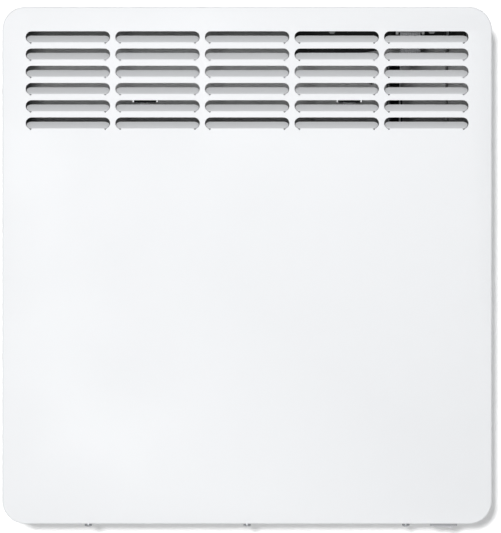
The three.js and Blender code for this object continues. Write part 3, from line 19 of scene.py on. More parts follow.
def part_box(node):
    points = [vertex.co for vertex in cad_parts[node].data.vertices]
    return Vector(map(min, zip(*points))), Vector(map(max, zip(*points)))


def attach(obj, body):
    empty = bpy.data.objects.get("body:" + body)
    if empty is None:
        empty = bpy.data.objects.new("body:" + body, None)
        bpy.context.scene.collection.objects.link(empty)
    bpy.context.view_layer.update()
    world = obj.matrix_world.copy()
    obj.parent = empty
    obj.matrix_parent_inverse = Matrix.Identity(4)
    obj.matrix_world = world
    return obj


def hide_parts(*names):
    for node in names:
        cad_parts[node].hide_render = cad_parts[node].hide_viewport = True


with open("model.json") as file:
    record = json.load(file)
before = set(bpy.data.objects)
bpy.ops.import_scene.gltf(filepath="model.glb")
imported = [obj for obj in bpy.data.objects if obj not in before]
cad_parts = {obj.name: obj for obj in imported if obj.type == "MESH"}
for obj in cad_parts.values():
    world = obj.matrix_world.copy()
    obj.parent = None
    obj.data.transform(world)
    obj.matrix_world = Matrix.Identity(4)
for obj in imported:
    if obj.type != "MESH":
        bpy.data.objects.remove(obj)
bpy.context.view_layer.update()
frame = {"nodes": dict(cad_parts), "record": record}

# %% [markdown]
# ## Camera
#
# The photograph is taken square on from far away: the two locks, 180 mm apart deep inside the case,
# look only one and a half per cent closer together than they would in the front face. That puts the
# camera about 6.7 m away. A long lens keeps the panel's size in the picture.

# %% Camera
MM = 0.001
cover_low, cover_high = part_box("front_cover")
FRONT = cover_low.y
CAMERA_DISTANCE = 6740 * MM
LENS_MM = 523
SENSOR_MM = 36
FARTHEST = 100
CAMERA_RIGHT = 2.95 * MM
CAMERA_DOWN = 1.0 * MM

camera = bpy.data.objects.new("camera", bpy.data.cameras.new("camera"))
bpy.context.scene.collection.objects.link(camera)
camera.data.lens = LENS_MM
camera.data.sensor_width = SENSOR_MM
camera.data.clip_end = FARTHEST
panel_middle = (cover_low + cover_high) / 2
camera.location = (CAMERA_RIGHT, FRONT - CAMERA_DISTANCE, panel_middle.z - CAMERA_DOWN)
camera.rotation_euler = (math.radians(90), 0, 0)
bpy.context.scene.camera = camera
print("camera at", [round(v, 3) for v in camera.location])

# %% [markdown]
# ## Tools for finishes
#
# Paint, plated sheet and moulded plastic all vary a little over their surface. Three small node groups
# hold what several finishes share: a slow drift of tone, a fine grain for the bump, and the leaf-like
# crystals of zinc. Each finish then gets its own colours and scales.

# %% A new node group
def node_group(name, inputs, outputs):
    """A shader group with its named sockets, and the two nodes at its ends."""
    tree = bpy.data.node_groups.new(name, "ShaderNodeTree")
    for label, kind, value in inputs:
        socket = tree.interface.new_socket(name=label, in_out="INPUT", socket_type=kind)
        if value is not None:
            socket.default_value = value
    for label, kind in outputs:
        tree.interface.new_socket(name=label, in_out="OUTPUT", socket_type=kind)
    return tree, tree.nodes.new("NodeGroupInput"), tree.nodes.new("NodeGroupOutput")


# %% [markdown]
# The drift mixes a lighter and a darker tone by a coarse noise. A noise keeps near its middle value, so
# that middle is spread over the whole range.

# %% Slow drift of tone
NOISE_LOW, NOISE_HIGH = 0.35, 0.65


def tone_drift_group():
    tree, given, made = node_group(
        "tone_drift",
        [
            ("Vector", "NodeSocketVector", None),
            ("Scale", "NodeSocketFloat", 20.0),
            ("Light", "NodeSocketColor", (0.8, 0.8, 0.8, 1)),
            ("Dark", "NodeSocketColor", (0.7, 0.7, 0.7, 1)),
        ],
        [("Color", "NodeSocketColor"), ("Mask", "NodeSocketFloat")],
    )
    noise = tree.nodes.new("ShaderNodeTexNoise")
    noise.inputs["Detail"].default_value = 3
    spread = tree.nodes.new("ShaderNodeMapRange")
    spread.inputs["From Min"].default_value = NOISE_LOW
    spread.inputs["From Max"].default_value = NOISE_HIGH
    mix = tree.nodes.new("ShaderNodeMix")
    mix.data_type = "RGBA"
    tree.links.new(given.outputs["Vector"], noise.inputs["Vector"])
    tree.links.new(given.outputs["Scale"], noise.inputs["Scale"])
    tree.links.new(noise.outputs["Fac"], spread.inputs["Value"])
    tree.links.new(spread.outputs["Result"], mix.inputs["Factor"])
    tree.links.new(given.outputs["Dark"], mix.inputs[6])
    tree.links.new(given.outputs["Light"], mix.inputs[7])
    tree.links.new(mix.outputs[2], made.inputs["Color"])
    tree.links.new(spread.outputs["Result"], made.inputs["Mask"])
    return tree


# %% [markdown]
# The grain is a fine noise that only gives the height of a bump. Stretched along one axis, it becomes
# the lines of drawn or rolled metal.

# %% Fine grain
def fine_grain_group():
    tree, given, made = node_group(
        "fine_grain",
        [
            ("Vector", "NodeSocketVector", None),
            ("Scale", "NodeSocketFloat", 800.0),
            ("Stretch", "NodeSocketVector", (1, 1, 1)),
        ],
        [("Height", "NodeSocketFloat")],
    )
    stretch = tree.nodes.new("ShaderNodeVectorMath")
    stretch.operation = "MULTIPLY"
    noise = tree.nodes.new("ShaderNodeTexNoise")
    noise.inputs["Detail"].default_value = 4
    tree.links.new(given.outputs["Vector"], stretch.inputs[0])
    tree.links.new(given.outputs["Stretch"], stretch.inputs[1])
    tree.links.new(stretch.outputs[0], noise.inputs["Vector"])
    tree.links.new(given.outputs["Scale"], noise.inputs["Scale"])
    tree.links.new(noise.outputs["Fac"], made.inputs["Height"])
    return tree


# %% [markdown]
# Zinc sets in crystals, each of one tone. Cells do the same, and a noise pushes their straight borders
# out of line by a few millimetres.

# %% Crystals of zinc
WARP_SCALE = 60
WARP_REACH = 6 * MM


def crystal_group():
    tree, given, made = node_group(
        "zinc_crystals",
        [
            ("Vector", "NodeSocketVector", None),
            ("Scale", "NodeSocketFloat", 150.0),
            ("Light", "NodeSocketColor", (0.6, 0.6, 0.6, 1)),
            ("Dark", "NodeSocketColor", (0.5, 0.5, 0.5, 1)),
        ],
        [("Color", "NodeSocketColor"), ("Mask", "NodeSocketFloat")],
    )
    warp = tree.nodes.new("ShaderNodeTexNoise")
    warp.inputs["Scale"].default_value = WARP_SCALE
    push = tree.nodes.new("ShaderNodeVectorMath")
    push.operation = "MULTIPLY_ADD"
    push.inputs[1].default_value = (WARP_REACH, WARP_REACH, WARP_REACH)
    cells = tree.nodes.new("ShaderNodeTexVoronoi")
    tone = tree.nodes.new("ShaderNodeSeparateColor")
    mix = tree.nodes.new("ShaderNodeMix")
    mix.data_type = "RGBA"
    tree.links.new(given.outputs["Vector"], warp.inputs["Vector"])
    tree.links.new(warp.outputs["Color"], push.inputs[0])
    tree.links.new(given.outputs["Vector"], push.inputs[2])
    tree.links.new(push.outputs[0], cells.inputs["Vector"])
    tree.links.new(given.outputs["Scale"], cells.inputs["Scale"])
    tree.links.new(cells.outputs["Color"], tone.inputs["Color"])
    tree.links.new(tone.outputs[0], mix.inputs["Factor"])
    tree.links.new(given.outputs["Dark"], mix.inputs[6])
    tree.links.new(given.outputs["Light"], mix.inputs[7])
    tree.links.new(mix.outputs[2], made.inputs["Color"])
    tree.links.new(tone.outputs[0], made.inputs["Mask"])
    return tree


TONE_DRIFT = tone_drift_group()
FINE_GRAIN = fine_grain_group()
CRYSTALS = crystal_group()
print("groups:", [g.name for g in bpy.data.node_groups])

# %% [markdown]
# A finish joins these groups to one shader. The mask of the drift also moves the roughness between two
# values, because a real surface never shines quite evenly. What is the same all over is set on the
# shader itself.

# %% A finish from its groups
BUMP_STRENGTH = 0.5


def new_finish(name, light, dark, rough, metal=0.0, colour=TONE_DRIFT, scale=20.0,
               grain=800.0, stretch=(1, 1, 1), depth=0.02, coat=0.0):
    """A material whose tone, roughness and bump follow the object's own coordinates."""
    finish = bpy.data.materials.new(name)
    finish.use_nodes = True
    nodes, links = finish.node_tree.nodes, finish.node_tree.links
    shader = nodes["Principled BSDF"]
    place = nodes.new("ShaderNodeTexCoord")
    tone = nodes.new("ShaderNodeGroup")
    tone.node_tree = colour
    tone.inputs["Scale"].default_value = scale
    tone.inputs["Light"].default_value = light
    tone.inputs["Dark"].default_value = dark
    links.new(place.outputs["Object"], tone.inputs["Vector"])
    links.new(tone.outputs["Color"], shader.inputs["Base Color"])
    sheen = nodes.new("ShaderNodeMapRange")
    sheen.inputs["To Min"].default_value, sheen.inputs["To Max"].default_value = rough
    links.new(tone.outputs["Mask"], sheen.inputs["Value"])
    links.new(sheen.outputs["Result"], shader.inputs["Roughness"])
    texture = nodes.new("ShaderNodeGroup")
    texture.node_tree = FINE_GRAIN
    texture.inputs["Scale"].default_value = grain
    texture.inputs["Stretch"].default_value = stretch
    links.new(place.outputs["Object"], texture.inputs["Vector"])
    bump = nodes.new("ShaderNodeBump")
    bump.inputs["Strength"].default_value = BUMP_STRENGTH
    bump.inputs["Distance"].default_value = depth * MM
    links.new(texture.outputs["Height"], bump.inputs["Height"])
    links.new(bump.outputs["Normal"], shader.inputs["Normal"])
    shader.inputs["Metallic"].default_value = metal
    shader.inputs["Coat Weight"].default_value = coat
    return finish


# %% [markdown]
# ## The finishes
#
# The tray inside carries painted shade: between the louvres its tone is palest at the third and fourth row
# and nearly black at the first, where the shade falls. The shade could be painted patch by patch, but a fade
# with height says the same in two numbers: where it is brightest, and how far.

# %% Painted shade on the tray
PAINTED_SHADE_TONE = (0.1, 0.1, 0.1, 1)
MOST_PAINTED_SHADE = 0.85


def paint_shade_inside(finish, inner_y, middle_z, reach):
    """Paints shade into the tone of a finish on the side towards the room, darker away from one height."""
    nodes, links = finish.node_tree.nodes, finish.node_tree.links
    shader = nodes["Principled BSDF"]
    unshaded_tone = shader.inputs["Base Color"].links[0].from_socket
    place = nodes.new("ShaderNodeTexCoord")
    axes = nodes.new("ShaderNodeSeparateXYZ")
    height = nodes.new("ShaderNodeMath")
    height.operation = "SUBTRACT"
    height.inputs[1].default_value = middle_z
    away = nodes.new("ShaderNodeMath")
    away.operation = "ABSOLUTE"
    fade = nodes.new("ShaderNodeMapRange")
    fade.interpolation_type = "SMOOTHSTEP"
    fade.inputs["From Max"].default_value = reach
    fade.inputs["To Max"].default_value = MOST_PAINTED_SHADE
    inside = nodes.new("ShaderNodeMath")
    inside.operation = "LESS_THAN"
    inside.inputs[1].default_value = inner_y
    amount = nodes.new("ShaderNodeMath")
    amount.operation = "MULTIPLY"
    mix = nodes.new("ShaderNodeMix")
    mix.data_type = "RGBA"
    mix.inputs[7].default_value = PAINTED_SHADE_TONE
    links.new(place.outputs["Object"], axes.inputs[0])
    links.new(axes.outputs["Z"], height.inputs[0])
    links.new(height.outputs[0], away.inputs[0])
    links.new(away.outputs[0], fade.inputs["Value"])
    links.new(axes.outputs["Y"], inside.inputs[0])
    links.new(fade.outputs["Result"], amount.inputs[0])
    links.new(inside.outputs[0], amount.inputs[1])
    links.new(amount.outputs[0], mix.inputs["Factor"])
    links.new(unshaded_tone, mix.inputs[6])
    links.new(mix.outputs[2], shader.inputs["Base Color"])


# %% [markdown]
# The case is powder coated: a satin white with a very fine orange peel. The tray is zinc-coated sheet,
# grey with faint crystals. The locks and the control housing are black plastic, the keys and the switch
# grey. Each line gives the lighter and the darker tone, the roughness between them, and the sizes of
# the drift and of the grain.

# %% Finishes of the real surfaces
FINISHES = {
    "powder_white": new_finish("powder_white", (0.91, 0.92, 0.935, 1), (0.895, 0.905, 0.92, 1),
                               (0.42, 0.5), scale=9, grain=1500, depth=0.03),
    "zinc_sheet": new_finish("zinc_sheet", (0.69, 0.7, 0.71, 1), (0.64, 0.65, 0.66, 1),
                             (0.45, 0.6), metal=0.1, colour=CRYSTALS, scale=220, grain=900, depth=0.01),
    # The cover's inside is a thin coat kept dark grey, so that little light bounces round the case: painted
    # shade.
    "inner_coat_painted_shade": new_finish("inner_coat_painted_shade", (0.3, 0.305, 0.31, 1), (0.24, 0.245, 0.25, 1),
                            (0.55, 0.7), scale=14, grain=1200, depth=0.03),
    # dark_sheet is painted shade: the partition and the air baffle wear it near black where only shade shows
    # between the louvres.
    "dark_sheet": new_finish("dark_sheet", (0.075, 0.078, 0.082, 1), (0.055, 0.058, 0.062, 1),
                             (0.5, 0.65), scale=25, grain=1300, depth=0.03),
    "aluminium": new_finish("aluminium", (0.72, 0.73, 0.74, 1), (0.62, 0.63, 0.64, 1),
                            (0.3, 0.42), metal=0.9, scale=30, grain=400, stretch=(0.05, 1, 1), depth=0.02),
    "bright_steel": new_finish("bright_steel", (0.62, 0.63, 0.65, 1), (0.5, 0.51, 0.53, 1),
                               (0.22, 0.34), metal=1.0, scale=60, grain=700, stretch=(1, 1, 0.1), depth=0.01),
    "black_plastic": new_finish("black_plastic", (0.02, 0.021, 0.023, 1), (0.012, 0.013, 0.014, 1),
                                (0.55, 0.68), scale=40, grain=2200, depth=0.05),
    "pale_plastic": new_finish("pale_plastic", (0.82, 0.83, 0.82, 1), (0.76, 0.77, 0.76, 1),
                               (0.4, 0.5), scale=30, grain=1800, depth=0.03),
    "grey_plastic": new_finish("grey_plastic", (0.17, 0.18, 0.19, 1), (0.13, 0.14, 0.15, 1),
                               (0.4, 0.52), scale=35, grain=2000, depth=0.04),
    "ceramic": new_finish("ceramic", (0.8, 0.76, 0.68, 1), (0.7, 0.66, 0.58, 1),
                          (0.6, 0.75), scale=120, grain=1200, depth=0.06),
    "circuit_board": new_finish("circuit_board", (0.02, 0.16, 0.07, 1), (0.01, 0.1, 0.045, 1),
                                (0.3, 0.42), scale=180, grain=900, depth=0.03),
    "dark_window": new_finish("dark_window", (0.012, 0.014, 0.016, 1), (0.009, 0.01, 0.012, 1),
                              (0.06, 0.1), scale=15, grain=300, depth=0.003, coat=0.5),
    "relay_blue": new_finish("relay_blue", (0.04, 0.14, 0.42, 1), (0.03, 0.11, 0.34, 1),
                             (0.3, 0.4), scale=60, grain=1500, depth=0.02),
    "rubber": new_finish("rubber", (0.025, 0.025, 0.026, 1), (0.016, 0.016, 0.017, 1),
                         (0.65, 0.8), scale=70, grain=1600, depth=0.04),
    "post_steel": new_finish("post_steel", (0.8, 0.81, 0.82, 1), (0.76, 0.77, 0.78, 1),
                             (0.5, 0.6), metal=0.1, scale=60, grain=900, depth=0.004),
    "switch_grey": new_finish("switch_grey", (0.53, 0.53, 0.55, 1), (0.49, 0.49, 0.51, 1),
                              (0.45, 0.55), scale=35, grain=2000, depth=0.03),
    "rocker_grey": new_finish("rocker_grey", (0.85, 0.84, 0.87, 1), (0.81, 0.8, 0.83, 1),
                              (0.4, 0.5), scale=35, grain=2000, depth=0.03),
    "lead_brown": new_finish("lead_brown", (0.13, 0.06, 0.03, 1), (0.1, 0.045, 0.022, 1),
                             (0.4, 0.52), scale=90, grain=900, depth=0.02),
    "lead_blue": new_finish("lead_blue", (0.03, 0.13, 0.5, 1), (0.025, 0.1, 0.4, 1),
                            (0.4, 0.52), scale=90, grain=900, depth=0.02),
    "lead_white": new_finish("lead_white", (0.74, 0.74, 0.72, 1), (0.66, 0.66, 0.64, 1),
                             (0.5, 0.62), scale=90, grain=1400, depth=0.04),
    "lead_grey": new_finish("lead_grey", (0.66, 0.67, 0.69, 1), (0.6, 0.61, 0.63, 1),
                            (0.42, 0.55), scale=90, grain=900, depth=0.02),
}

for part in frame["record"]["subparts"]:
    frame["nodes"][part["node"]].material_slots[0].material = FINISHES[part["material_slot"]]

# %% [markdown]
# A few pieces look different from the rest of their kind: the tray with its painted shade, the housing's
# steel clips and the dusty lead of the room sensor.

# %% Pieces with a finish of their own
TRAY_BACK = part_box("rear_panel")[1].y
UNSHADED_HEIGHT = 22.5 * MM
PAINTED_SHADE_REACH = 52 * MM
HALF_SHEET = 0.4 * MM
# The tray's zinc carries painted shade: darker away from one height on its side towards the room.
tray_zinc = new_finish("zinc_with_painted_shade", (0.89, 0.9, 0.91, 1), (0.86, 0.87, 0.88, 1), (0.45, 0.6), metal=0.05,
                       colour=CRYSTALS, scale=220, grain=900, depth=0.01)
clip_steel = new_finish("clip_steel", (0.26, 0.265, 0.27, 1), (0.2, 0.205, 0.21, 1), (0.5, 0.6),
                        metal=0.2, scale=60, grain=900, depth=0.02)
sensor_grey = new_finish("sensor_grey", (0.38, 0.385, 0.39, 1), (0.33, 0.335, 0.34, 1), (0.5, 0.62),
                         scale=90, grain=1400, depth=0.04)
paint_shade_inside(tray_zinc, TRAY_BACK - HALF_SHEET, UNSHADED_HEIGHT, PAINTED_SHADE_REACH)
for node, finish in [("rear_panel", tray_zinc), ("housing_clip_left", clip_steel),
                     ("housing_clip_right", clip_steel), ("lead_sensor", sensor_grey)]:
    frame["nodes"][node].material_slots[0].material = finish


# %% [markdown]
# ## Tools for sheet metal
#
# Every flat shape here starts as one square face. Rounding its corner points gives a plate, a slot or a
# hole outline, and a fill between outlines gives a sheet with holes in it. Cutting the holes with a
# boolean would work too, but leaves slivers beside thirty rounded slots.

# %% Outlines and fills
MERGE = 0.002 * MM
TINY = 1e-7


def rounded_loop(bm, length, height, radius, at=(0, 0, 0), segments=8, plane=Matrix.Identity(4)):
    """The edges of a rounded rectangle, with no face."""
    place = plane @ Matrix.Translation(at) @ Matrix.Diagonal((length, height, 1, 1))
    square = bmesh.ops.create_grid(bm, x_segments=1, y_segments=1, size=0.5, matrix=place)["verts"]
    corners = bmesh.ops.bevel(bm, geom=square, offset=radius, offset_type="OFFSET", segments=segments,
                              profile=0.5, affect="VERTICES", material=-1)["verts"]
    bmesh.ops.delete(bm, geom=list({f for v in corners for f in v.link_faces}), context="FACES_ONLY")
    return list({e for v in corners for e in v.link_edges})


def circle_loop(bm, radius, at=(0, 0, 0), segments=20, plane=Matrix.Identity(4)):
    """The edges of a circle, with no face."""
    verts = bmesh.ops.create_circle(bm, cap_ends=False, radius=radius, segments=segments,
                                    matrix=plane @ Matrix.Translation(at))["verts"]
    return list({e for v in verts for e in v.link_edges})


def fill(bm, edges):
    """Faces in the area that closed outlines enclose, less the holes in it."""
    return bmesh.ops.triangle_fill(bm, use_beauty=False, use_dissolve=False, edges=edges)


def loop_from(bm, corners):
    """A closed loop of edges through a few corner points."""
    verts = [bm.verts.new(corner) for corner in corners]
    return [bm.edges.new((a, b)) for a, b in zip(verts, verts[1:] + verts[:1])]


# %% [markdown]
# Every piece ends the same way. A sheet gets its thickness and a moulding its rounded corners, as modifiers
# that are then made real. Smooth shading stops at each corner, the piece is put on the body it rides on and
# given its finish, and the measured solids it stands for are hidden.

# %% A finished piece
BEVEL_STEPS = 2


def mark_sharp(mesh, limit):
    """Smooth shading everywhere, broken at corners sharper than the limit and along open edges."""
    bm = bmesh.new()
    bm.from_mesh(mesh)
    for face in bm.faces:
        face.smooth = True
    for edge in bm.edges:
        edge.smooth = len(edge.link_faces) == 2 and edge.calc_face_angle(0) < math.radians(limit)
    bm.to_mesh(mesh)
    bm.free()


def add_piece(bm, name, slot, body="heater", nodes=(), thickness=0, inside=None, bevel=0, limit=30):
    """Turns a bmesh into a finished piece that rides on a body and stands for its CAD nodes."""
    mesh = bpy.data.meshes.new(name)
    bm.to_mesh(mesh)
    bm.free()
    for finish in [slot] + ([inside] if inside else []):
        mesh.materials.append(FINISHES[finish])
    piece = bpy.data.objects.new(name, mesh)
    bpy.context.scene.collection.objects.link(piece)
    if thickness:
        wall = piece.modifiers.new("wall", "SOLIDIFY")
        wall.thickness, wall.offset, wall.use_even_offset = thickness, -1, True
        wall.material_offset = 1 if inside else 0
    if bevel:
        edge = piece.modifiers.new("edge", "BEVEL")
        edge.width, edge.segments, edge.limit_method = bevel, BEVEL_STEPS, "ANGLE"
        edge.angle_limit, edge.harden_normals = math.radians(limit), False
    graph = bpy.context.evaluated_depsgraph_get()
    solid = bpy.data.meshes.new_from_object(piece.evaluated_get(graph))
    piece.modifiers.clear()
    piece.data = solid
    solid.name = name
    mark_sharp(solid, limit)
    if nodes:
        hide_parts(*nodes)
    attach(piece, body)
    print(f"{name}: {len(solid.polygons)} faces")
    return piece


# %% [markdown]
# ## The louvres
#
# A press cuts each tab free along its top and round its ends, and folds it inwards about its lower
# edge. So the tab is drawn flat first, as the hole's outline less the width of the cut, with its root
# strip. Cuts across it make room for the fold, and then every point moves along the folded line.

# %% One louvre tab
WIDTH = cover_high.x - cover_low.x
HEIGHT = cover_high.z - cover_low.z
DEPTH = cover_high.y - cover_low.y
SHEET = 0.8 * MM
SLOT_LENGTH = 73.5 * MM
SLOT_HEIGHT = 10.2 * MM
SLOT_ROUND = SLOT_HEIGHT / 2 - 0.0001 * MM
CUT = 0.7 * MM
FOLD_ANGLE = math.radians(50.5)
FOLD_OUTER = 1.4 * MM
FOLD_LENGTH = FOLD_ANGLE * (FOLD_OUTER - SHEET / 2)
FOLD_CUTS = 7


def folded(point):
    """Where a point of the flat tab goes: x stays, y is its height over the slot's lower edge."""
    along = point.y + SLOT_HEIGHT / 2
    angle = FOLD_ANGLE * min(along / FOLD_LENGTH, 1)
    straight = max(along - FOLD_LENGTH, 0)
    rise = FOLD_OUTER * math.sin(angle) + straight * math.cos(angle)
    depth = FOLD_OUTER * (1 - math.cos(angle)) + straight * math.sin(angle)
    return Vector((point.x, rise - SLOT_HEIGHT / 2, -depth))


def louvre_tab():
    """The tab with its root at the slot's lower edge, as a mesh that is added once to each slot."""
    bm = bmesh.new()
    fill(bm, rounded_loop(bm, SLOT_LENGTH - 2 * CUT, SLOT_HEIGHT - 2 * CUT, SLOT_ROUND - CUT))
    bmesh.ops.dissolve_faces(bm, faces=bm.faces[:])
    lowest = min(bm.edges, key=lambda e: e.verts[0].co.y + e.verts[1].co.y)
    strip = bmesh.ops.extrude_edge_only(bm, edges=[lowest])
    root = [v for v in strip["geom"] if isinstance(v, bmesh.types.BMVert)]
    bmesh.ops.translate(bm, verts=root, vec=(0, -CUT, 0))
    for step in range(1, FOLD_CUTS + 1):
        bmesh.ops.bisect_plane(bm, geom=bm.verts[:] + bm.edges[:] + bm.faces[:], dist=TINY,
                               plane_co=(0, step * FOLD_LENGTH / FOLD_CUTS - SLOT_HEIGHT / 2, 0),
                               plane_no=(0, 1, 0))
    for vert in bm.verts:
        vert.co = folded(vert.co)
    mesh = bpy.data.meshes.new("louvre_tab")
    bm.to_mesh(mesh)
    bm.free()
    return mesh


TAB = louvre_tab()
print("tab faces:", len(TAB.polygons))

# %% [markdown]
# ## The front cover
#
# The cover is one sheet: a flat front, a small round fold, four sides and a lip underneath. It is built
# in its own plane, front face up: the rings of the fold are insets of one rounded face, the sides are
# extruded back from it, and each flat wall with holes is filled between outlines. The wall thickness
# comes last, so that the fold and the louvres keep one even sheet.

# %% Sides and fold
CORNER = 20 * MM
CORNER_STEPS = 14
FOLD = 1.2 * MM
LIP = 30 * MM
FOLD_STEPS = 5


def edges_at(bm, test):
    return [e for e in bm.edges if all(test(v.co) for v in e.verts)]


def new_verts(made):
    return [item for item in made["geom"] if isinstance(item, bmesh.types.BMVert)]


def cover_shell():
    """The fold and the four sides, in two rings so that the lip's depth has an edge."""
    bm = bmesh.new()
    lift = Matrix.Translation((0, 0, -FOLD))
    outline = rounded_loop(bm, WIDTH, HEIGHT, CORNER, segments=CORNER_STEPS, plane=lift)
    front = bmesh.ops.contextual_create(bm, geom=outline)["faces"]
    for step in range(FOLD_STEPS):
        a, b = (math.pi / 2 * k / FOLD_STEPS for k in (step, step + 1))
        bmesh.ops.inset_region(bm, faces=front, thickness=FOLD * (math.cos(a) - math.cos(b)),
                               depth=FOLD * (math.sin(b) - math.sin(a)), use_boundary=True,
                               use_even_offset=True)
    rim = edges_at(bm, lambda co: abs(co.z + FOLD) < TINY)
    for depth in (LIP - FOLD, DEPTH - LIP):
        walls = bmesh.ops.extrude_edge_only(bm, edges=rim)
        bmesh.ops.translate(bm, verts=new_verts(walls), vec=(0, 0, -depth))
        rim = [item for item in walls["geom"] if isinstance(item, bmesh.types.BMEdge)]
    bmesh.ops.delete(bm, geom=front, context="FACES_ONLY")
    return bm


# %% [markdown]
# The front is filled between the fold and the thirty slots. At a slot's ends the cut runs on a little
# past the line of the bend, so that the sheet doesn't tear there. In the photograph these nicks are the
# small dark dots under each louvre's ends. Then every slot gets its tab.

# %% Front with its louvres
LOUVRE_PITCH = Vector((78 * MM, 15 * MM))
LOUVRE_TOP = 21.2 * MM
COLUMNS, ROWS = 5, 6
LOUVRES = [
    Vector(((column - (COLUMNS - 1) / 2) * LOUVRE_PITCH.x,
            HEIGHT / 2 - LOUVRE_TOP - SLOT_HEIGHT / 2 - row * LOUVRE_PITCH.y, 0))
    for row in range(ROWS) for column in range(COLUMNS)
]
STRAIGHT_HALF = SLOT_LENGTH / 2 - SLOT_ROUND
NICK = 0.9 * MM
NICK_FROM, NICK_TO = 0.5 * MM, 1.2 * MM
NICK_RISE = 0.2 * MM


def nick_points(slots):
    """The points of the slots' outlines, just past the straight lower edge, that the nicks pull down."""
    return [v for v in {v for e in slots for v in e.verts} for at in LOUVRES
            if abs(v.co.y - at.y + SLOT_HEIGHT / 2) < NICK_RISE
            and NICK_FROM < abs(v.co.x - at.x) - STRAIGHT_HALF < NICK_TO]


def fill_front(bm):
    front = edges_at(bm, lambda co: abs(co.z) < TINY)
    slots = [e for at in LOUVRES for e in rounded_loop(bm, SLOT_LENGTH, SLOT_HEIGHT, SLOT_ROUND, at)]
    nicks = nick_points(slots)
    bmesh.ops.translate(bm, verts=nicks, vec=(0, -NICK, 0))
    fill(bm, front + slots)
    for at in LOUVRES:
        before = set(bm.verts)
        bm.from_mesh(TAB)
        bmesh.ops.translate(bm, verts=[v for v in bm.verts if v not in before], vec=at)
    print("louvres:", len(LOUVRES), "with", len(nicks), "points in their nicks")


# %% [markdown]
# The top has one opening, for the panel with the controls. Its place and size come from the measured
# panel, with the same gap all round.

# %% Top with the opening for the controls
UPRIGHT = Matrix.Rotation(math.radians(90), 4, "X")
TO_ROOM = Matrix.Translation((0, FRONT, panel_middle.z)) @ UPRIGHT
FROM_ROOM = TO_ROOM.inverted()
OPENING_GAP = 2.9 * MM
OPENING_ROUND = 4 * MM


def refill(bm, walls, holes):
    """Fills the border of some flat wall faces again, round the given holes."""
    border = [e for e in {e for f in walls for e in f.edges} if sum(f in walls for f in e.link_faces) == 1]
    inner = [e for e in {e for f in walls for e in f.edges} if e not in border]
    bmesh.ops.delete(bm, geom=walls, context="FACES_ONLY")
    bmesh.ops.delete(bm, geom=inner, context="EDGES")
    fill(bm, border + holes)


def open_top(bm):
    low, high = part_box("control_fascia")
    middle = FROM_ROOM @ ((low + high) / 2)
    size = high - low
    ceiling = Matrix.Translation((middle.x, HEIGHT / 2, middle.z)) @ UPRIGHT
    walls = [f for f in bm.faces if all(abs(v.co.y - HEIGHT / 2) < TINY for v in f.verts)]
    opening = rounded_loop(bm, size.x + 2 * OPENING_GAP, size.y + 2 * OPENING_GAP, OPENING_ROUND,
                           plane=ceiling)
    refill(bm, walls, opening)


# %% [markdown]
# Underneath, the cover ends in a lip that three screws pull against the tray's floor. The rest of the
# floor is open. The lip's rear edge is drawn as one chain from corner to corner, which steps forward
# round the mains switch.

# %% Lip with its screw holes
FLAT_HALF = WIDTH / 2 - CORNER
SWITCH_GAP = 1 * MM
SCREW_HOLE = 2.05 * MM


def cut_lip(bm):
    floor = [f for f in bm.faces if all(abs(v.co.y + HEIGHT / 2) < TINY for v in f.verts)]
    bmesh.ops.delete(bm, geom=floor, context="FACES_ONLY")
    spans = edges_at(bm, lambda co: abs(co.y + HEIGHT / 2) < TINY and co.z < -FOLD - TINY)
    bmesh.ops.delete(bm, geom=[e for e in spans if not e.link_faces], context="EDGES")
    corner = {
        (side, z): next(v for v in bm.verts
                        if (v.co - Vector((side * FLAT_HALF, -HEIGHT / 2, z))).length < MERGE / 2)
        for side in (-1, 1) for z in (-FOLD, -LIP)
    }
    switch_low, switch_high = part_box("mains_switch")
    notch_left, notch_right = switch_low.x - SWITCH_GAP, switch_high.x + SWITCH_GAP
    notch_front = (FROM_ROOM @ switch_low).z + SWITCH_GAP
    notch = [(notch_right, -LIP), (notch_right, notch_front), (notch_left, notch_front), (notch_left, -LIP)]
    chain = [corner[1, -LIP], *(bm.verts.new((x, -HEIGHT / 2, z)) for x, z in notch), corner[-1, -LIP]]
    lip = [bm.edges.new(pair) for pair in zip(chain, chain[1:])]
    lip += [bm.edges.get((corner[side, -FOLD], corner[side, -LIP])) for side in (1, -1)]
    lip.append(bm.edges.get((corner[-1, -FOLD], corner[1, -FOLD])))
    for name in ("left", "middle", "right"):
        low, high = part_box(f"cover_screw_{name}")
        at = FROM_ROOM @ ((low + high) / 2)
        ground = Matrix.Translation((at.x, -HEIGHT / 2, at.z)) @ UPRIGHT
        lip += circle_loop(bm, SCREW_HOLE, plane=ground)
    fill(bm, lip)


# %% [markdown]
# Where the outlines meet, their points are doubled, and are merged before the sheet gets its thickness.
# The thickness grows inwards from the outer face, so the front has to look towards the room first.

# %% The whole cover
COVER_LIMIT = 24


def front_cover():
    bm = cover_shell()
    fill_front(bm)
    open_top(bm)
    cut_lip(bm)
    bmesh.ops.remove_doubles(bm, verts=bm.verts[:], dist=MERGE)
    bmesh.ops.recalc_face_normals(bm, faces=bm.faces[:])
    flat = max(bm.faces, key=lambda f: f.calc_area() if abs(f.calc_center_median().z) < MERGE / 2 else 0)
    if flat.normal.z < 0:
        bmesh.ops.reverse_faces(bm, faces=bm.faces[:])
    bmesh.ops.transform(bm, matrix=TO_ROOM, verts=bm.verts[:])
    return bm


# Its inside wears the dark inner coat, which is painted shade.
add_piece(front_cover(), "cover_sheet", "powder_white", nodes=["front_cover"],
          thickness=SHEET, inside="inner_coat_painted_shade", limit=COVER_LIMIT)

# %% [markdown]
# ## The ribbon cable
#
# Behind the fifth column of louvres a flat grey cable hangs from the controls. It starts face on, and
# turns edge on before it reaches the power board. Its outline is a row of round cores with thin webs;
# that outline is extruded upwards step by step and turned about its outer edge on the way.

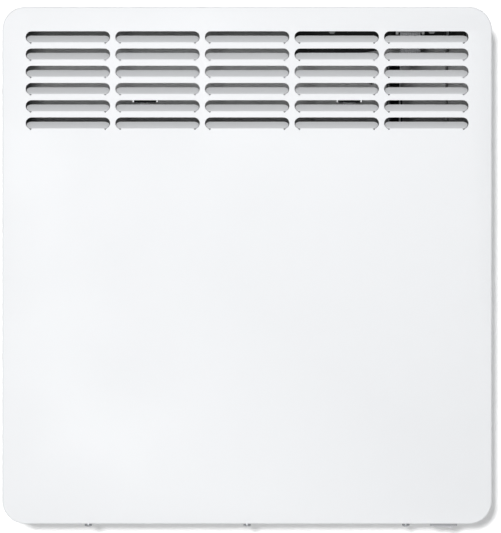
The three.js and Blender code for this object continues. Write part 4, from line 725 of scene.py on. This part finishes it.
# %% Ribbed ribbon cable
CORES = 9
ribbon_low, ribbon_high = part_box("ribbon_cable")
RIBBON_WIDTH = 18 * MM
RIBBON_STEPS = 60
RIBBON_FROM_WALL = 83 * MM
PLUG_RIM = 3.5 * MM
POINTS_PER_CORE = 6
WEB, CORE = 0.2 * MM, 0.4 * MM
TURN_START = cover_high.z - 37 * MM
TURN_LENGTH = 45 * MM
TURN_EASE = 2.2


def ribbon_angle(z):
    """How far the cable has turned at a height: quickly at first, then ever more slowly."""
    share = min(max((TURN_START - z) / TURN_LENGTH, 0), 1)
    return math.pi / 2 * (1 - (1 - share) ** TURN_EASE)


def ribbon():
    bm = bmesh.new()
    edge = Vector((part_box("ribbon_plug_upper")[0].x + PLUG_RIM, -RIBBON_FROM_WALL, 0))
    points = POINTS_PER_CORE * CORES
    half = [(k / points * RIBBON_WIDTH, WEB + CORE * abs(math.sin(math.pi * k / POINTS_PER_CORE)))
            for k in range(points + 1)]
    outline = half + [(u, -t) for u, t in reversed(half)]
    start = ribbon_angle(ribbon_low.z)
    verts = [bm.verts.new((u, t, ribbon_low.z)) for u, t in outline]
    bmesh.ops.rotate(bm, verts=verts, cent=(0, 0, 0), matrix=Matrix.Rotation(start, 3, "Z"))
    bmesh.ops.translate(bm, verts=verts, vec=edge)
    first = bm.faces.new(verts)
    ring = list(first.edges)
    rise = (ribbon_high.z - ribbon_low.z) / RIBBON_STEPS
    for step in range(RIBBON_STEPS):
        z = ribbon_low.z + step * rise
        made = bmesh.ops.extrude_edge_only(bm, edges=ring)
        turn = ribbon_angle(z + rise) - ribbon_angle(z)
        bmesh.ops.rotate(bm, verts=new_verts(made), cent=edge, matrix=Matrix.Rotation(turn, 3, "Z"))
        bmesh.ops.translate(bm, verts=new_verts(made), vec=(0, 0, rise))
        ring = [item for item in made["geom"] if isinstance(item, bmesh.types.BMEdge)]
    bmesh.ops.contextual_create(bm, geom=ring)
    bmesh.ops.recalc_face_normals(bm, faces=bm.faces[:])
    return bm


add_piece(ribbon(), "ribbon_cable_ribs", "lead_grey", nodes=["ribbon_cable"], limit=60)

# %% [markdown]
# ## Moulded and folded parts
#
# Mouldings and folded strips never have knife edges. Their measured meshes are copied, their doubled
# points merged and their flat triangles joined, and then a narrow round is cut along every corner.

# %% Softened copies
FLAT_WITHIN = math.radians(0.5)


def merged_copy(node):
    bm = bmesh.new()
    bm.from_mesh(frame["nodes"][node].data)
    bmesh.ops.remove_doubles(bm, verts=bm.verts[:], dist=MERGE)
    bmesh.ops.dissolve_limit(bm, angle_limit=FLAT_WITHIN, verts=bm.verts[:], edges=bm.edges[:],
                             delimit={"NORMAL"})
    bmesh.ops.recalc_face_normals(bm, faces=bm.faces[:])
    return bm


def softened(node, slot, width, body="heater", finish=None):
    piece = add_piece(merged_copy(node), node + "_soft", slot, body=body, nodes=[node], bevel=width, limit=32)
    if finish:
        piece.material_slots[0].material = FINISHES[finish]
    return piece


for node, slot, width, body in [
    ("lock_left", "black_plastic", 0.25, "left_lock"),
    ("lock_right", "black_plastic", 0.25, "right_lock"),
    ("key_menu", "grey_plastic", 0.3, "menu_key"),
    ("key_minus", "grey_plastic", 0.3, "minus_key"),
    ("key_plus", "grey_plastic", 0.3, "plus_key"),
    ("key_ok", "grey_plastic", 0.3, "ok_key"),
    ("display_window", "dark_window", 0.15, "heater"),
    ("relay", "relay_blue", 0.4, "heater"),
    ("cord_gland", "black_plastic", 0.3, "heater"),
]:
    softened(node, slot, width * MM, body)
softened("mains_rocker", "grey_plastic", 0.35 * MM, "rocker", "rocker_grey")
softened("mains_switch", "grey_plastic", 0.3 * MM, finish="switch_grey")

# %% [markdown]
# Each lock turns in a bush, and a bright post stands at either end of its bar as a stop. The photograph
# shows two pale dots beside each black bar, and no pale ring round it. So only the posts are pale from
# the room, and their upright edges are rounded nearly to half circles.

# %% Lock bushes with their stop posts
PLATE = 2.1 * MM
POST_ROUND = 0.55 * MM
POST_STEPS = 6
COLLAR_REACH = 6 * MM
STEEP = 0.99
SQUARE_CORNER = math.radians(80)
TO_THE_WALL = 0.5

for side in ("left", "right"):
    node = f"lock_bush_{side}"
    bush = merged_copy(node)
    plate_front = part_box(node)[1].y - PLATE
    upright = [e for e in bush.edges if e.is_manifold and all(v.co.y < plate_front for v in e.verts)
               and abs((e.verts[0].co - e.verts[1].co).normalized().z) > STEEP
               and e.calc_face_angle(0) > SQUARE_CORNER]
    print(node, "has", len(upright), "upright edges on its posts")
    bmesh.ops.bevel(bush, geom=upright, offset=POST_ROUND, offset_type="OFFSET", segments=POST_STEPS,
                    profile=0.5, affect="EDGES", material=-1, clamp_overlap=True)
    piece = add_piece(bush, node + "_soft", "pale_plastic", nodes=[node])
    piece.data.materials.append(FINISHES["post_steel"])
    piece.data.materials.append(FINISHES["dark_sheet"])
    spindle = sum(corner.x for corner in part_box(f"lock_{side}")) / 2
    for face in piece.data.polygons:
        post = face.center.y < plate_front and abs(face.center.x - spindle) > COLLAR_REACH
        if post:
            face.material_index = 1
        # The bush's other faces towards the room are painted near black: painted shade under and round each
        # bar.
        elif face.normal.y < TO_THE_WALL:
            face.material_index = 2

# %% [markdown]
# ## Marks on the controls
#
# The keys carry plain signs in a pale finish: three bars for the menu, minus, plus, and a ring to
# confirm. The mains rocker has the usual bar for on and ring for off. Each sign is a plate a tenth of a
# millimetre thick. It could be a mask in the material, but a plate needs no picture and no unwrapping.

# %% Flat signs
INK = 0.1 * MM
PROUD = 0.1
SUNK = 0.9
LINE_ROUND = 0.15 * MM


def printed(bm):
    """Gives flat faces at z = 0 the print's thickness, a tenth of it above that plane."""
    made = bmesh.ops.extrude_face_region(bm, geom=bm.faces[:])
    bmesh.ops.translate(bm, verts=new_verts(made), vec=(0, 0, INK))
    bmesh.ops.translate(bm, verts=bm.verts[:], vec=(0, 0, -SUNK * INK))
    bmesh.ops.recalc_face_normals(bm, faces=bm.faces[:])
    return bm


def bars_sign(places, length, height):
    bm = bmesh.new()
    for at in places:
        fill(bm, rounded_loop(bm, length, height, LINE_ROUND, (0, at, 0), segments=3))
    return printed(bm)


def plus_sign(reach, half):
    bm = bmesh.new()
    quarter = [(half, reach), (half, half), (reach, half)]
    points = []
    for turn in range(4):
        spin = Matrix.Rotation(-turn * math.pi / 2, 3, "Z")
        points += [spin @ Vector((x, y, 0)) for x, y in quarter]
    fill(bm, loop_from(bm, points))
    return printed(bm)


def ring_sign(outer, inner):
    bm = bmesh.new()
    fill(bm, circle_loop(bm, outer, segments=32) + circle_loop(bm, inner, segments=32))
    return printed(bm)


def add_sign(bm, name, place, body):
    bmesh.ops.transform(bm, matrix=place, verts=bm.verts[:])
    return add_piece(bm, name, "pale_plastic", body=body)


# %% [markdown]
# A key's sign goes on the middle of its top and rides on the key, so that both go down together. It is
# let in until it ends level with the key's top. Two level faces share their pixels, so these signs show
# only as faint darker marks, and not pale as they should.

# %% Signs on the keys
for key_name, sign in [
    ("menu", bars_sign([-1.6 * MM, 0, 1.6 * MM], 5 * MM, 0.6 * MM)),
    ("minus", bars_sign([0], 4.6 * MM, 0.7 * MM)),
    ("plus", plus_sign(2.3 * MM, 0.35 * MM)),
    ("ok", ring_sign(2.1 * MM, 1.5 * MM)),
]:
    low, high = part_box(f"key_{key_name}")
    middle = (low + high) / 2
    add_sign(sign, f"{key_name}_sign", Matrix.Translation((middle.x, middle.y, high.z - PROUD * INK)),
             f"{key_name}_key")

# %% [markdown]
# The rocker's two halves slope against each other, so the signs' places are measured from its own two
# large faces: the middle of each gives the place, and its normal the tilt. These signs end just above
# the faces, but the rocker is nearly as pale as they are, so they hardly show.

# %% Signs on the rocker
LOOKS_ALONG = 0.8


def face_places(node, direction):
    """Where the two largest faces of a node lie that look along a direction."""
    bm = bmesh.new()
    bm.from_mesh(frame["nodes"][node].data)
    bmesh.ops.remove_doubles(bm, verts=bm.verts[:], dist=MERGE)
    bmesh.ops.dissolve_limit(bm, angle_limit=FLAT_WITHIN, verts=bm.verts[:], edges=bm.edges[:])
    facing = [f for f in bm.faces if f.normal.dot(direction) > LOOKS_ALONG]
    faces = sorted(facing, key=lambda f: -f.calc_area())[:2]
    places = []
    for face in sorted(faces, key=lambda f: f.calc_center_median().x):
        z = face.normal.normalized()
        x = Vector((1, 0, 0)) - z * z.x
        x.normalize()
        y = z.cross(x)
        turn = Matrix((x, y, z)).transposed().to_4x4()
        places.append(Matrix.Translation(face.calc_center_median()) @ turn)
    bm.free()
    return places


off_face, on_face = face_places("mains_rocker", Vector((0, 0, -1)))
add_sign(ring_sign(1.5 * MM, 1.1 * MM), "off_sign", off_face, "rocker")
on_sign = bars_sign([0], 3.2 * MM, 0.45 * MM)
bmesh.ops.rotate(on_sign, verts=on_sign.verts[:], matrix=Matrix.Rotation(math.pi / 2, 3, "Z"))
add_sign(on_sign, "on_sign", on_face, "rocker")

# %% [markdown]
# ## Screws under the front edge
#
# Three domed heads with a hexagon socket hold the cover's lip to the floor of the tray. The head is
# turned from its half outline, and the socket is a six-sided well joined to the inner ring.

# %% Cover screws
HEAD = 2.7 * MM
RIM, DOME = 0.55 * HEAD, 0.45 * HEAD
DOME_STEPS, DOME_DRAWN = 8, 7
TURN_STEPS = 36
SHANK = 1.75 * MM
TIP = 3 * MM
SOCKET, SOCKET_DEPTH, SOCKET_SIDES = 1.25 * MM, 1.5 * MM, 6


def cover_screw(node):
    low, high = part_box(node)
    at = Vector(((low.x + high.x) / 2, (low.y + high.y) / 2, 0))
    radius = (high.x - low.x) / 2
    bm = bmesh.new()
    under = low.z + HEAD
    dome = [(radius * math.cos(a), under - RIM - DOME * math.sin(a))
            for a in (math.pi / 2 * k / DOME_STEPS for k in range(DOME_DRAWN))]
    outline = [(SHANK, high.z - TIP), (SHANK, under), (radius, under), *dome]
    verts = [bm.verts.new((r, 0, z)) for r, z in outline]
    edges = [bm.edges.new(pair) for pair in zip(verts, verts[1:])]
    bmesh.ops.spin(bm, geom=verts + edges, cent=(0, 0, 0), axis=(0, 0, 1), angle=2 * math.pi,
                   steps=TURN_STEPS, use_merge=True)
    inner = edges_at(bm, lambda co: abs(co.z - dome[-1][1]) < TINY)
    socket = circle_loop(bm, SOCKET, (0, 0, dome[-1][1]), SOCKET_SIDES)
    bmesh.ops.bridge_loops(bm, edges=inner + socket)
    well = bmesh.ops.extrude_edge_only(bm, edges=socket)
    bmesh.ops.translate(bm, verts=new_verts(well), vec=(0, 0, SOCKET_DEPTH))
    floor_edges = [e for e in well["geom"] if isinstance(e, bmesh.types.BMEdge)]
    bmesh.ops.holes_fill(bm, edges=floor_edges, sides=SOCKET_SIDES)
    top = edges_at(bm, lambda co: abs(co.z - (high.z - TIP)) < TINY)
    point = bmesh.ops.extrude_edge_only(bm, edges=top)
    bmesh.ops.translate(bm, verts=new_verts(point), vec=(0, 0, TIP))
    bmesh.ops.pointmerge(bm, verts=new_verts(point), merge_co=(0, 0, high.z))
    bmesh.ops.recalc_face_normals(bm, faces=bm.faces[:])
    bmesh.ops.translate(bm, verts=bm.verts[:], vec=at)
    return add_piece(bm, node + "_turned", "bright_steel", nodes=[node], limit=40)


for side in ("left", "middle", "right"):
    cover_screw(f"cover_screw_{side}")

# %% [markdown]
# ## Wall
#
# The heater hangs on a white wall that is lit past white, so it only shows as the thin shadow at the lower
# right. Only the camera sees the wall, and only from the front: it throws no light back and stays out of the
# views from behind. Outside the case's middle it has a faint glow, painted light that lifts its shadow.
# Behind the middle of the case it is painted black, as painted shade, which also keeps the glow from showing
# through the case's openings.

# %% Wall behind the heater
ROOM_WHITE = (1, 1, 1, 1)
WALL_MARGIN = 35 * MM
WALL_PAINTED_GLOW = 0.08
WALL_HALF = 3


def stage_plane(name, size, at, turn):
    bm = bmesh.new()
    bmesh.ops.create_grid(bm, x_segments=1, y_segments=1, size=size, matrix=Matrix.Translation(at) @ turn)
    mesh = bpy.data.meshes.new(name)
    bm.to_mesh(mesh)
    bm.free()
    plane = bpy.data.objects.new(name, mesh)
    bpy.context.scene.collection.objects.link(plane)
    return plane


def wall_paint():
    paint = bpy.data.materials.new("wall_paint")
    paint.use_nodes = True
    nodes, links = paint.node_tree.nodes, paint.node_tree.links
    shader = nodes["Principled BSDF"]
    shader.inputs["Roughness"].default_value = 1
    shader.inputs["Emission Color"].default_value = ROOM_WHITE
    place = nodes.new("ShaderNodeTexCoord")
    axes = nodes.new("ShaderNodeSeparateXYZ")
    links.new(place.outputs["Object"], axes.inputs[0])
    outside = []
    for axis, middle, half in (("X", 0, WIDTH / 2), ("Z", panel_middle.z, HEIGHT / 2)):
        away = nodes.new("ShaderNodeMath")
        away.operation = "SUBTRACT"
        away.inputs[1].default_value = middle
        size = nodes.new("ShaderNodeMath")
        size.operation = "ABSOLUTE"
        beyond = nodes.new("ShaderNodeMath")
        beyond.operation = "GREATER_THAN"
        beyond.inputs[1].default_value = half - WALL_MARGIN
        links.new(axes.outputs[axis], away.inputs[0])
        links.new(away.outputs[0], size.inputs[0])
        links.new(size.outputs[0], beyond.inputs[0])
        outside.append(beyond.outputs[0])
    # Outside the case's middle: white with a faint glow of painted light. Behind it: black, painted shade.
    either = nodes.new("ShaderNodeMath")
    either.operation = "MAXIMUM"
    glow = nodes.new("ShaderNodeMath")
    glow.operation = "MULTIPLY"
    glow.inputs[1].default_value = WALL_PAINTED_GLOW
    links.new(outside[0], either.inputs[0])
    links.new(outside[1], either.inputs[1])
    links.new(either.outputs[0], glow.inputs[0])
    links.new(either.outputs[0], shader.inputs["Base Color"])
    links.new(glow.outputs[0], shader.inputs["Emission Strength"])
    clear = nodes.new("ShaderNodeBsdfTransparent")
    path = nodes.new("ShaderNodeLightPath")
    side = nodes.new("ShaderNodeNewGeometry")
    front = nodes.new("ShaderNodeMath")
    front.operation = "SUBTRACT"
    front.use_clamp = True
    mix = nodes.new("ShaderNodeMixShader")
    links.new(path.outputs["Is Camera Ray"], front.inputs[0])
    links.new(side.outputs["Backfacing"], front.inputs[1])
    links.new(front.outputs[0], mix.inputs["Fac"])
    links.new(clear.outputs["BSDF"], mix.inputs[1])
    links.new(shader.outputs["BSDF"], mix.inputs[2])
    links.new(mix.outputs["Shader"], nodes["Material Output"].inputs["Surface"])
    return paint


wall = stage_plane("wall", WALL_HALF, (0, 0.5 * MM, 0), UPRIGHT)
wall.data.materials.append(wall_paint())

# %% [markdown]
# ## Floor
#
# The floor lies well under the heater, out of the photograph's view. The camera sees it pale, while the
# light that it throws back up stays weak. From below it is open, so that the heater's underside shows.

# %% Floor
FLOOR_DEPTH = 0.9
FLOOR_HALF = 4
FLOOR_TONE = (0.82, 0.82, 0.82, 1)
FLOOR_GLOW = 0.5


def floor_material():
    """Glows to the camera alone, and is open from below."""
    paint = bpy.data.materials.new("floor_paint")
    paint.use_nodes = True
    nodes, links = paint.node_tree.nodes, paint.node_tree.links
    shader = nodes["Principled BSDF"]
    shader.inputs["Base Color"].default_value = FLOOR_TONE
    shader.inputs["Roughness"].default_value = 0.8
    shader.inputs["Emission Color"].default_value = ROOM_WHITE
    path = nodes.new("ShaderNodeLightPath")
    glow = nodes.new("ShaderNodeMath")
    glow.operation = "MULTIPLY"
    glow.inputs[1].default_value = FLOOR_GLOW
    clear = nodes.new("ShaderNodeBsdfTransparent")
    side = nodes.new("ShaderNodeNewGeometry")
    mix = nodes.new("ShaderNodeMixShader")
    links.new(path.outputs["Is Camera Ray"], glow.inputs[0])
    links.new(glow.outputs[0], shader.inputs["Emission Strength"])
    links.new(side.outputs["Backfacing"], mix.inputs["Fac"])
    links.new(shader.outputs["BSDF"], mix.inputs[1])
    links.new(clear.outputs["BSDF"], mix.inputs[2])
    links.new(mix.outputs["Shader"], nodes["Material Output"].inputs["Surface"])
    return paint


floor = stage_plane("floor", FLOOR_HALF, (0, 0, -FLOOR_DEPTH), Matrix.Identity(4))
floor.data.materials.append(floor_material())

# %% [markdown]
# ## Lamps
#
# The front is lit by one tall soft box, a little to the left of the camera and above the heater. Four
# weak fills stand behind the plane of the front: they light the top, the sides and the back for the
# other views, and leave the front as the soft box makes it. None of them lights the wall, because its
# shadow in the photograph is sharper than their light would leave it.

# %% Lamps for the heater
FILL_SIZE = 1.3
FILL_TARGET = (0, -0.05, 0)
ALL_ROUND = 180


def aim(lamp, target):
    lamp.rotation_euler = (Vector(target) - lamp.location).to_track_quat("-Z", "Y").to_euler()


def soft_box(name, at, target, width, height, spread, power):
    """A lamp with a flat face. The smaller its spread, the sooner its light fades off the aimed line."""
    data = bpy.data.lights.new(name, "AREA")
    data.shape = "RECTANGLE"
    data.size, data.size_y = width, height
    data.spread = math.radians(spread)
    data.energy = power
    lamp = bpy.data.objects.new(name, data)
    bpy.context.scene.collection.objects.link(lamp)
    lamp.location = at
    aim(lamp, target)
    return lamp


def only_on(lamp, receivers):
    """The lamp lights only these objects, though everything still casts its shadow."""
    group = bpy.data.collections.new(lamp.name + "_receivers")
    for receiver in receivers:
        group.objects.link(receiver)
    lamp.light_linking.receiver_collection = group


key = soft_box("key", at=(-0.43, -3.3, 0.3), target=(0.06, FRONT, 0.13), width=0.4, height=2.3,
               spread=75, power=13.3)
shown = [o for o in bpy.context.scene.objects if o.type == "MESH" and o is not wall]
only_on(key, shown)
for name, at, power in [("overhead", (0, 0.6, 2.4), 12), ("left fill", (-2.4, 0.65, 0.4), 12),
                        ("right fill", (2.4, 0.65, 0.4), 12), ("rear fill", (0.4, 2.5, 0.7), 14)]:
    only_on(soft_box(name, at, FILL_TARGET, FILL_SIZE, FILL_SIZE, ALL_ROUND, power), shown)

# %% [markdown]
# Two more lamps do the rest. One lights only the locks' bushes, through the louvres, so that their
# posts show as bright as in the photograph. The other is a sun that lights only the wall, from the left
# and above. Its angle sets how soft the edge of the shadow is.

# %% Lamps for the posts and for the wall
POST_LAMP_DROP = 70 * MM
SUN_FROM = (-0.157, -2.3, 0.167)
SUN_POWER = 2.2
SUN_ANGLE = math.radians(3.1)

lock_middle = (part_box("lock_left")[0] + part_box("lock_right")[1]) / 2
post_lamp = soft_box("post lamp", at=(-0.3, -3.2, lock_middle.z - POST_LAMP_DROP), target=lock_middle,
                     width=0.2, height=0.06, spread=ALL_ROUND, power=75)
only_on(post_lamp, [bpy.data.objects[f"lock_bush_{side}_soft"] for side in ("left", "right")])

wall_sun = bpy.data.objects.new("wall_sun", bpy.data.lights.new("wall_sun", "SUN"))
bpy.context.scene.collection.objects.link(wall_sun)
wall_sun.data.angle = SUN_ANGLE
wall_sun.data.energy = SUN_POWER
wall_sun.location = SUN_FROM
aim(wall_sun, (0, 0, 0))
only_on(wall_sun, [wall])

# %% [markdown]
# ## Room light
#
# The room round the heater is white to the camera and much weaker as a light, because strong light from
# all sides would fill the dark gaps between the louvres. The plain view transform keeps the whites white.

# %% Room light and colour
ROOM_SEEN = 1.05
ROOM_LIGHT = 0.28
ROOM_TINT = (0.97, 0.985, 1, 1)

world = bpy.data.worlds.new("room")
bpy.context.scene.world = world
world.use_nodes = True
sky, sky_links = world.node_tree.nodes, world.node_tree.links
seen = sky.new("ShaderNodeBackground")
seen.inputs["Color"].default_value = ROOM_WHITE
seen.inputs["Strength"].default_value = ROOM_SEEN
lit = sky["Background"]
lit.inputs["Color"].default_value = ROOM_TINT
lit.inputs["Strength"].default_value = ROOM_LIGHT
ray = sky.new("ShaderNodeLightPath")
choose = sky.new("ShaderNodeMixShader")
sky_links.new(ray.outputs["Is Camera Ray"], choose.inputs["Fac"])
sky_links.new(lit.outputs["Background"], choose.inputs[1])
sky_links.new(seen.outputs["Background"], choose.inputs[2])
sky_links.new(choose.outputs["Shader"], sky["World Output"].inputs["Surface"])

bpy.context.scene.view_settings.view_transform = "Standard"
print("room:", ROOM_SEEN, "to the camera,", ROOM_LIGHT, "as light")
